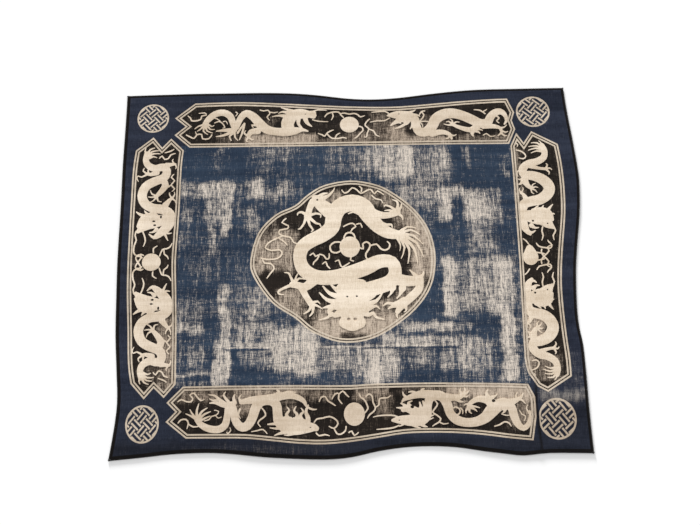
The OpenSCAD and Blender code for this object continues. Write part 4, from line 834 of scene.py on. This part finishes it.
def top_outline(node: str) -> np.ndarray:
    """Finds the edges round a node's top faces, with the gap at the fold closed.

    Args:
        node: The node's name.

    Returns:
        Edges as an array of start and end points.
    """
    mesh = frame["nodes"][node].data
    co = np.empty(len(mesh.vertices) * 3, np.float32)
    mesh.vertices.foreach_get("co", co)
    co = co.reshape(-1, 3).astype(float)
    mesh.calc_loop_triangles()
    tri = np.empty(len(mesh.loop_triangles) * 3, np.int32)
    mesh.loop_triangles.foreach_get("vertices", tri)
    tri = tri.reshape(-1, 3)
    tri = tri[(co[tri][:, :, 2] > co[:, 2].max() - TOP_SLACK).all(axis=1)]
    xy = co[:, :2].copy()
    xy[np.abs(xy[:, 1] - FOLD_Y) < FOLD_GAP, 1] = FOLD_Y
    keys, ids = np.unique(np.round(xy / WELD).astype(np.int64), axis=0, return_inverse=True)
    where = np.zeros((len(keys), 2))
    where[ids.ravel()] = xy
    tri = ids.ravel()[tri]
    pairs = np.concatenate([tri[:, [0, 1]], tri[:, [1, 2]], tri[:, [2, 0]]])
    pairs = np.sort(pairs[pairs[:, 0] != pairs[:, 1]], axis=1)
    unique, count = np.unique(pairs, axis=0, return_counts=True)
    return where[unique[count == 1]]


def inside(p: np.ndarray, edges: np.ndarray) -> np.ndarray:
    """Tells which points lie inside an outline.

    Args:
        p: Points, one row each.
        edges: The outline's edges.

    Returns:
        True for each point inside.
    """
    found = np.zeros(len(p), bool)
    low, high = edges.min(axis=(0, 1)), edges.max(axis=(0, 1))
    near = np.nonzero((p >= low).all(axis=1) & (p <= high).all(axis=1))[0]
    a, b = edges[:, 0], edges[:, 1]
    rise = b[:, 1] - a[:, 1]
    slope = (b[:, 0] - a[:, 0]) / np.where(np.abs(rise) < LEVEL_EDGE, LEVEL_EDGE, rise)
    block = max(1, LARGEST_BLOCK // max(1, len(edges)))
    for start in range(0, len(near), block):
        rows = near[start:start + block]
        x, y = p[rows, 0][:, None], p[rows, 1][:, None]
        spans = (a[:, 1] > y) != (b[:, 1] > y)
        crossed = spans & (x < a[:, 0] + (y - a[:, 1]) * slope)
        found[rows] = crossed.sum(axis=1) % 2 == 1
    return found


@dataclass
class Plan:
    """The carpet's plan as one net of triangles, each in a zone, so that neighbours share edges."""

    zones: list[Zone]
    grid: float = 0.019
    fold_rows: float = 4 * MM
    ridge_columns: float = 7 * MM
    ridge_count: int = 6
    longest_edge: float = 0.024
    clear: float = 5 * MM
    merged: float = 0.01 * MM
    least_area: float = 1e-10
    least_soil: float = 0.04
    # Painted shade: a dark line laid into the soil levels on the shaded slope of the crease ridge,
    # set off to the ridge's right.
    crease_painted_shade: float = 2.0
    crease_shade_offset: float = 12 * MM
    points: np.ndarray = field(init=False)
    tris: np.ndarray = field(init=False)
    owner: np.ndarray = field(init=False)
    # Soil levels, with painted shade along the crease ridge.
    soil: np.ndarray = field(init=False)
    lift: np.ndarray = field(init=False)

    def split(self, edges: np.ndarray) -> np.ndarray:
        """Splits long edges.

        Args:
            edges: Start and end points.

        Returns:
            Edges no longer than longest_edge.
        """
        length = np.linalg.norm(edges[:, 1] - edges[:, 0], axis=1)
        parts = np.maximum(1, np.ceil(length / self.longest_edge).astype(int))
        rows = np.repeat(np.arange(len(edges)), parts)
        step = np.concatenate([np.arange(n) for n in parts])
        share = (step / parts[rows])[:, None]
        share_next = ((step + 1) / parts[rows])[:, None]
        a, b = edges[rows, 0], edges[rows, 1]
        return np.stack([a + (b - a) * share, a + (b - a) * share_next], axis=1)

    def filling(self, outer: np.ndarray, taken: np.ndarray) -> np.ndarray:
        """Lays points between the outlines.

        Args:
            outer: The edges of the whole.
            taken: Points already on the outlines.

        Returns:
            The new points.
        """
        low, high = outer.min(axis=(0, 1)), outer.max(axis=(0, 1))
        reach = BLEND_REACH + 2 * self.fold_rows
        ys = np.arange(low[1], high[1], self.grid)
        ys = ys[np.abs(ys - FOLD_Y) > reach]
        rows = int(BLEND_REACH / self.fold_rows) + 1
        ys = np.concatenate([ys, FOLD_Y + (np.arange(-rows, rows) + 0.5) * self.fold_rows])
        gx, gy = np.meshgrid(np.arange(low[0], high[0], self.grid), ys)
        staggered = (np.arange(len(ys)) % 2) * (np.abs(ys - FOLD_Y) > reach)
        gx = gx + staggered[:, None] * self.grid / 2
        even = np.stack([gx.ravel(), gy.ravel()], axis=1)
        half_ridge = (self.ridge_count + 0.5) * self.ridge_columns
        off_ridge = np.abs(even[:, 0] - LIE.ridge_x) >= half_ridge
        even = even[off_ridge | (even[:, 1] >= LIE.ridge_from)]
        columns = np.arange(-self.ridge_count, self.ridge_count + 1) * self.ridge_columns
        rx, ry = np.meshgrid(LIE.ridge_x + columns, np.arange(low[1], LIE.ridge_from, self.grid))
        made = np.concatenate([even, np.stack([rx.ravel(), ry.ravel()], axis=1)])
        tree = kdtree.KDTree(len(taken))
        for i, p in enumerate(taken):
            tree.insert((p[0], p[1], 0.0), i)
        tree.balance()
        made = made[np.array([tree.find((p[0], p[1], 0.0))[2] > self.clear for p in made])]
        return made[inside(made, outer)]

    def build(self) -> None:
        """Makes the net and finds each triangle's zone, and the soil, with painted shade along the
        crease ridge, and lift at each point.
        """
        outlines = [[top_outline(node) for node in z.nodes] for z in self.zones]
        halves = [top_outline(node) for node in BASE_NODES]
        outer = np.concatenate(halves)
        edges = self.split(np.concatenate([e for group in outlines for e in group] + [outer]))
        corners = edges.reshape(-1, 2)
        points = np.concatenate([corners, self.filling(outer, corners)])
        links = [(2 * i, 2 * i + 1) for i in range(len(edges))]
        made = delaunay_2d_cdt([Vector(p) for p in points], links, [], 0, self.merged)
        self.points = np.array([tuple(v) for v in made[0]], float)
        tris = np.array([f for f in made[2] if len(f) == 3], int)
        a, b, c = (self.points[tris[:, i]] for i in range(3))
        area = (b[:, 0] - a[:, 0]) * (c[:, 1] - a[:, 1]) - (b[:, 1] - a[:, 1]) * (c[:, 0] - a[:, 0])
        tris[area < 0] = tris[area < 0][:, ::-1]
        tris = tris[np.abs(area) > self.least_area]
        middle = self.points[tris].mean(axis=1)
        keep = inside(middle, halves[0]) | inside(middle, halves[1])
        self.tris, middle = tris[keep], middle[keep]
        self.owner = np.full(len(self.tris), -1)
        for i, group in enumerate(outlines):
            for outline in group:
                self.owner[inside(middle, outline) & (self.owner < 0)] = i
        lost = self.owner < 0
        LOG.info("plan: %d points, %d triangles, %d of them given to the border", len(self.points),
                 len(self.tris), int(lost.sum()))
        self.owner[lost] = [z.name for z in self.zones].index("knotted_border_pile")
        self.lift = LIE.height(self.points)
        # Painted shade along the shaded right-hand slope of the crease ridge, laid into the soil
        # levels.
        painted_shade_line = LIE.ridge(self.points - np.array([self.crease_shade_offset, 0.0]))
        soil = levels(SOIL, self.least_soil, self.points)
        self.soil = np.maximum(soil, painted_shade_line * self.crease_painted_shade)


PLAN = Plan(all_zones())


def give_faces(mesh: bpy.types.Mesh, points: np.ndarray, faces: list[np.ndarray]) -> None:
    """Fills an empty mesh.

    Args:
        mesh: The mesh.
        points: Its points, one row each.
        faces: Arrays of faces, each array with the same number of corners.
    """
    mesh.vertices.add(len(points))
    mesh.vertices.foreach_set("co", points.astype(np.float32).ravel())
    sizes = np.concatenate([np.full(len(f), f.shape[1]) for f in faces])
    corners = np.concatenate([f.ravel() for f in faces])
    mesh.loops.add(len(corners))
    mesh.loops.foreach_set("vertex_index", corners.astype(np.int32))
    mesh.polygons.add(len(sizes))
    starts = np.concatenate([[0], np.cumsum(sizes)[:-1]])
    mesh.polygons.foreach_set("loop_start", starts.astype(np.int32))
    mesh.update(calc_edges=True)
    mesh.validate()


def new_piece(name: str, points: np.ndarray, faces: list[np.ndarray]) -> bpy.types.Object:
    """Makes a piece from points and faces.

    Args:
        name: The piece's name.
        points: Its points.
        faces: Its faces.

    Returns:
        The object, at the origin.
    """
    mesh = bpy.data.meshes.new(name)
    give_faces(mesh, points, faces)
    made = bpy.data.objects.new(name, mesh)
    bpy.context.scene.collection.objects.link(made)
    return made


def give_attribute(piece: bpy.types.Object, name: str, kind: str, values: np.ndarray,
                   domain: str = "POINT") -> None:
    """Adds an attribute to a piece's mesh.

    Args:
        piece: The piece.
        name: The attribute's name.
        kind: FLOAT, FLOAT_VECTOR or FLOAT_COLOR.
        values: Its values.
        domain: POINT or FACE.
    """
    made = piece.data.attributes.new(name, kind, domain)
    part = {"FLOAT": "value", "FLOAT_VECTOR": "vector", "FLOAT_COLOR": "color"}[kind]
    made.data.foreach_set(part, values.astype(np.float32).ravel())


def pick(piece: bpy.types.Object) -> None:
    """Selects one piece alone and makes it active.

    Args:
        piece: The piece.
    """
    bpy.ops.object.select_all(action="DESELECT")
    piece.select_set(True)
    bpy.context.view_layer.objects.active = piece


def shade(piece: bpy.types.Object, angle: float) -> None:
    """Smooths a piece's shading except along edges sharper than an angle.

    Args:
        piece: The piece.
        angle: The angle in degrees.
    """
    pick(piece)
    bpy.ops.object.shade_smooth_by_angle(angle=math.radians(angle))


CARVED = 0.5 * MM
PILE_CORNER = 40
EDGE_CORNER = 50


def felt(name: str, chosen: np.ndarray, low: np.ndarray, high: np.ndarray,
         wear: np.ndarray) -> tuple[bpy.types.Object, int]:
    """Makes a closed layer over some of the plan's triangles.

    Args:
        name: The piece's name.
        chosen: True for each triangle that it covers.
        low: Height of its underside at each point of the plan.
        high: Height of its top at each point of the plan.
        wear: Wear at each point of the plan.

    Returns:
        The piece, and how many faces its top has; as many faces of the underside follow them.
    """
    used, local = np.unique(PLAN.tris[chosen], return_inverse=True)
    tri = local.reshape(-1, 3)
    count = len(used)
    directed = np.concatenate([tri[:, [0, 1]], tri[:, [1, 2]], tri[:, [2, 0]]])
    key = directed[:, 0] * count + directed[:, 1]
    back = directed[:, 1] * count + directed[:, 0]
    rim = directed[~np.isin(key, back)]
    top, bottom = high[used], low[used]
    top[np.unique(rim)] -= CARVED
    xy = np.tile(PLAN.points[used], (2, 1))
    z = np.concatenate([top, bottom])
    sides = np.stack([rim[:, 1], rim[:, 0], rim[:, 0] + count, rim[:, 1] + count], axis=1)
    piece = new_piece(name, np.column_stack([xy, z]), [tri, tri[:, ::-1] + count, sides])
    flat = np.column_stack([xy, z - np.tile(PLAN.lift[used], 2)])
    give_attribute(piece, "rest", "FLOAT_VECTOR", flat)
    give_attribute(piece, "wear", "FLOAT", np.tile(wear[used], 2))
    # Soil, with painted shade along the crease ridge.
    give_attribute(piece, "soil", "FLOAT", np.tile(PLAN.soil[used], 2))
    shade(piece, PILE_CORNER)
    return piece, len(tri)


def dress(piece: bpy.types.Object, bodies: list[str], nodes: tuple[str, ...]) -> None:
    """Hides the nodes that a piece stands for and parents the piece to its body; a piece on two
    bodies stays unparented where it lies.

    Args:
        piece: The piece.
        bodies: The body that it is parented to, or the two bodies that it spans.
        nodes: The frame nodes that it stands for.
    """
    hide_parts(*nodes)
    if len(bodies) == 2:
        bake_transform(piece)
    else:
        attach(piece, bodies[0])
    LOG.info("%s: %d faces, on %s", piece.name, len(piece.data.polygons), ", ".join(bodies))


@dataclass
class Pile:
    """The knotted pile, one piece for each zone."""

    root: float = 3.05 * MM
    full: float = 10.0 * MM
    low: float = 7.8 * MM
    rubbed: float = 1.6 * MM
    motif_rubbed: float = 0.3 * MM
    pieces: list[bpy.types.Object] = field(default_factory=list)

    def wear_of(self, z: Zone) -> np.ndarray:
        """Wear of a zone at each point of the plan.

        Args:
            z: The zone.

        Returns:
            Levels from 0 to 1.
        """
        patches, start = WEAR.get(z.yarn.name, IVORY_WEAR)
        return levels(patches, start, PLAN.points)

    def build(self) -> None:
        """Makes every zone's piece."""
        coats: dict[str, bpy.types.Material] = {}
        for i, z in enumerate(PLAN.zones):
            wear = self.wear_of(z)
            height = self.low if z.level is Level.LOW else self.full
            cut = wear * (self.motif_rubbed if z.level is Level.MOTIF else self.rubbed)
            top = PLAN.lift + height - cut
            piece, _ = felt(z.name, PLAN.owner == i, PLAN.lift + self.root, top, wear)
            if z.yarn.name not in coats:
                coats[z.yarn.name] = z.yarn.material()
            piece.data.materials.append(coats[z.yarn.name])
            dress(piece, z.bodies, z.nodes)
            self.pieces.append(piece)


@dataclass
class Base:
    """The woven cotton base, whose underside shows the backs of the knots."""

    thickness: float = 3.0 * MM

    def build(self, laid_on: list[bpy.types.Object]) -> bpy.types.Object:
        """Makes the base as one sheet.

        Args:
            laid_on: The pieces that go with it; not used.

        Returns:
            The base.
        """
        every = np.ones(len(PLAN.tris), bool)
        piece, tops = felt("woven_base", every, PLAN.lift, PLAN.lift + self.thickness,
                           np.zeros(len(PLAN.points)))
        piece.data.materials.append(Web().material())
        piece.data.materials.append(KnotBacks().material())
        count = len(piece.data.polygons)
        under = np.zeros(count, np.int32)
        under[tops:2 * tops] = 1
        piece.data.polygons.foreach_set("material_index", under)
        shades = np.array([linear(tuple((d + p) / 2 for d, p in zip(z.yarn.deep, z.yarn.light)))
                           for z in PLAN.zones])
        colours = np.ones((count, 4))
        colours[tops:2 * tops] = shades[PLAN.owner]
        give_attribute(piece, "yarn", "FLOAT_COLOR", colours, "FACE")
        dress(piece, [BODY_FAR, BODY_NEAR], BASE_NODES)
        return piece


# ---- Edges -------------------------------------------------------------------------------------


def sweep(name: str, path: np.ndarray, section: np.ndarray) -> bpy.types.Object:
    """Carries a section along a path and closes its ends.

    Args:
        name: The piece's name.
        path: Points of the path.
        section: Points of the section: across the path, and up.

    Returns:
        The piece.
    """
    ahead = np.gradient(path, axis=0)
    ahead[:, 2] = 0
    ahead /= np.linalg.norm(ahead, axis=1)[:, None]
    across = np.column_stack([-ahead[:, 1], ahead[:, 0], np.zeros(len(path))])
    up = np.array([0.0, 0.0, 1.0])
    rings = (path[:, None, :] + across[:, None, :] * section[None, :, 0, None]
             + up * section[None, :, 1, None])
    n, m = len(path), len(section)
    points = rings.reshape(-1, 3)
    i, j = np.meshgrid(np.arange(n - 1), np.arange(m), indexing="ij")
    k = (j + 1) % m
    quads = np.stack([i * m + j, i * m + k, (i + 1) * m + k, (i + 1) * m + j], axis=-1)
    caps = [np.arange(m)[::-1][None, :], (np.arange(m) + (n - 1) * m)[None, :]]
    piece = new_piece(name, points, [quads.reshape(-1, 4), *caps])
    run = np.concatenate([[0], np.cumsum(np.linalg.norm(np.diff(path, axis=0), axis=1))])
    turn = np.arange(m) / m
    give_attribute(piece, "run", "FLOAT_VECTOR",
                   np.column_stack([np.repeat(run, m), np.tile(turn, n), np.zeros(n * m)]))
    pick(piece)
    bpy.ops.object.mode_set(mode="EDIT")
    bpy.ops.mesh.select_all(action="SELECT")
    bpy.ops.mesh.normals_make_consistent(inside=False)
    bpy.ops.object.mode_set(mode="OBJECT")
    shade(piece, EDGE_CORNER)
    return piece


def crossing(edges: np.ndarray, at: float, axis: int) -> tuple[float, float]:
    """Where an outline is cut by a line across it.

    Args:
        edges: The outline's edges.
        at: Where the line is.
        axis: The axis that the line stands on: 1 for a line of constant y.

    Returns:
        The lowest and highest place along the line.
    """
    a, b = edges[:, 0], edges[:, 1]
    hit = (a[:, axis] > at) != (b[:, axis] > at)
    a, b = a[hit], b[hit]
    share = (at - a[:, axis]) / (b[:, axis] - a[:, axis])
    found = a[:, 1 - axis] + share * (b[:, 1 - axis] - a[:, 1 - axis])
    return float(found.min()), float(found.max())


FOLD_STOPS = np.arange(-35.5, 36, 5) * MM


@dataclass
class EdgeFinish:
    """One finished edge: an overcast cord down a side, or a woven strip along an end."""

    name: str
    nodes: tuple[str, ...]
    slot: str
    finish: Whipping
    axis: int
    half_height: float
    square: float
    step: float = 14 * MM
    sides: int = 14
    margin: float = 6 * MM
    inset: float = 1.5 * MM
    clear: float = 0.05 * MM
    snug: float = 0.98

    def route(self) -> tuple[np.ndarray, float]:
        """Follows the middle of the edge.

        Returns:
            The path's points and half the edge's width.
        """
        edges = np.concatenate([top_outline(n) for n in self.nodes])
        low, high = edges[:, :, self.axis].min(), edges[:, :, self.axis].max()
        stops = np.arange(low + self.margin, high - self.margin, self.step)
        if self.axis == 1:
            stops = stops[np.abs(stops - FOLD_Y) > BLEND_REACH + self.margin]
            stops = np.sort(np.concatenate([stops, FOLD_Y + FOLD_STOPS]))
        stops = np.concatenate([[low + self.inset], stops, [high - self.inset]])
        rows, widths = [], []
        for at in stops:
            a, b = crossing(edges, float(at), self.axis)
            middle = (a + b) / 2
            rows.append((middle, at) if self.axis == 1 else (at, middle))
            widths.append(b - a)
        flat = np.array(rows)
        half = float(np.median(widths)) / 2
        lift = LIE.height(flat)
        return np.column_stack([flat, lift + self.half_height + self.clear]), half

    def build(self) -> bpy.types.Object:
        """Makes the edge.

        Returns:
            The piece.
        """
        path, half = self.route()
        a = np.arange(self.sides) * 2 * math.pi / self.sides
        wide = np.sign(np.cos(a)) * np.abs(np.cos(a)) ** self.square * half * self.snug
        tall = np.sign(np.sin(a)) * np.abs(np.sin(a)) ** self.square * self.half_height
        piece = sweep(self.name, path, np.column_stack([wide, tall]))
        piece.data.materials.append(self.finish.material())
        dress(piece, bodies_of(self.nodes), self.nodes)
        return piece


# ---- Room --------------------------------------------------------------------------------------


@dataclass
class Studio:
    """Pale floor, soft light and the camera."""

    place: tuple[float, float, float] = (-0.0215, -2.8645, 8.7967)
    tilt: float = 18.203
    roll: float = -0.639
    turn: float = -0.200
    lens: float = 59.755
    sensor: float = 36.0
    clip_end: float = 60.0
    floor_half: float = 14.0
    floor_tint: tuple[float, float, float, float] = (0.93, 0.93, 0.93, 1.0)
    sky: float = 0.75
    sun: float = 5.6
    sun_height: float = 11.5
    sun_side: float = 14.0
    sun_width: float = 11.0

    def camera(self) -> None:
        """Places the camera."""
        data = bpy.data.cameras.new("camera")
        data.lens = self.lens
        data.sensor_width = self.sensor
        data.clip_end = self.clip_end
        made = bpy.data.objects.new("camera", data)
        bpy.context.scene.collection.objects.link(made)
        turn = Matrix.Rotation(math.radians(self.turn), 4, "Z")
        tilt = Matrix.Rotation(math.radians(self.tilt), 4, "X")
        roll = Matrix.Rotation(math.radians(self.roll), 4, "Z")
        made.matrix_world = Matrix.Translation(self.place) @ turn @ tilt @ roll
        bpy.context.scene.camera = made

    def floor(self) -> None:
        """Lays the floor."""
        bpy.ops.mesh.primitive_plane_add(size=2 * self.floor_half, location=(0, 0, -0.1 * MM))
        made = bpy.context.active_object
        made.name = "floor"
        sh = Shader("studio_floor")
        surface = sh.node("ShaderNodeBsdfPrincipled", None, {
            "Base Color": self.floor_tint, "Roughness": 0.9, "Specular IOR Level": 0.1})
        sh.node_out(surface)
        made.data.materials.append(sh.material)

    def lights(self) -> None:
        """Sets the sky and one low, soft sun from the far side."""
        world = bpy.data.worlds.new("studio")
        world.use_nodes = True
        sky = world.node_tree.nodes["Background"]
        sky.inputs["Color"].default_value = (1.0, 1.0, 1.0, 1.0)
        sky.inputs["Strength"].default_value = self.sky
        bpy.context.scene.world = world
        data = bpy.data.lights.new("window", "SUN")
        data.energy = self.sun
        data.angle = math.radians(self.sun_width)
        made = bpy.data.objects.new("window", data)
        made.rotation_euler = (math.radians(self.sun_height - 90), 0, math.radians(self.sun_side))
        bpy.context.scene.collection.objects.link(made)

    def build(self) -> None:
        """Makes the room."""
        self.camera()
        self.floor()
        self.lights()
        bpy.context.scene.view_settings.view_transform = "Standard"


def main() -> None:
    """Builds the carpet on its frame, then the room."""
    logging.basicConfig(level=logging.INFO, format="%(name)s %(message)s")
    PLAN.build()
    pile = Pile()
    pile.build()
    edges = [EdgeFinish(f"overcast_{side}", (f"{side}_side_cord", f"{side}_side_cord_flap"),
                        "side_cord_wool", OVERCAST, axis=1, half_height=4.6 * MM, square=1.0)
             for side in ("left", "right")]
    edges += [EdgeFinish(f"woven_{end}_end", (f"{end}_end_strip",), "end_web", END_WEAVE,
                         axis=0, half_height=2.4 * MM, square=0.55) for end in ("far", "near")]
    trims = [edge.build() for edge in edges]
    Base().build(pile.pieces + trims)
    Studio().build()


if __name__ == "__main__":
    main()
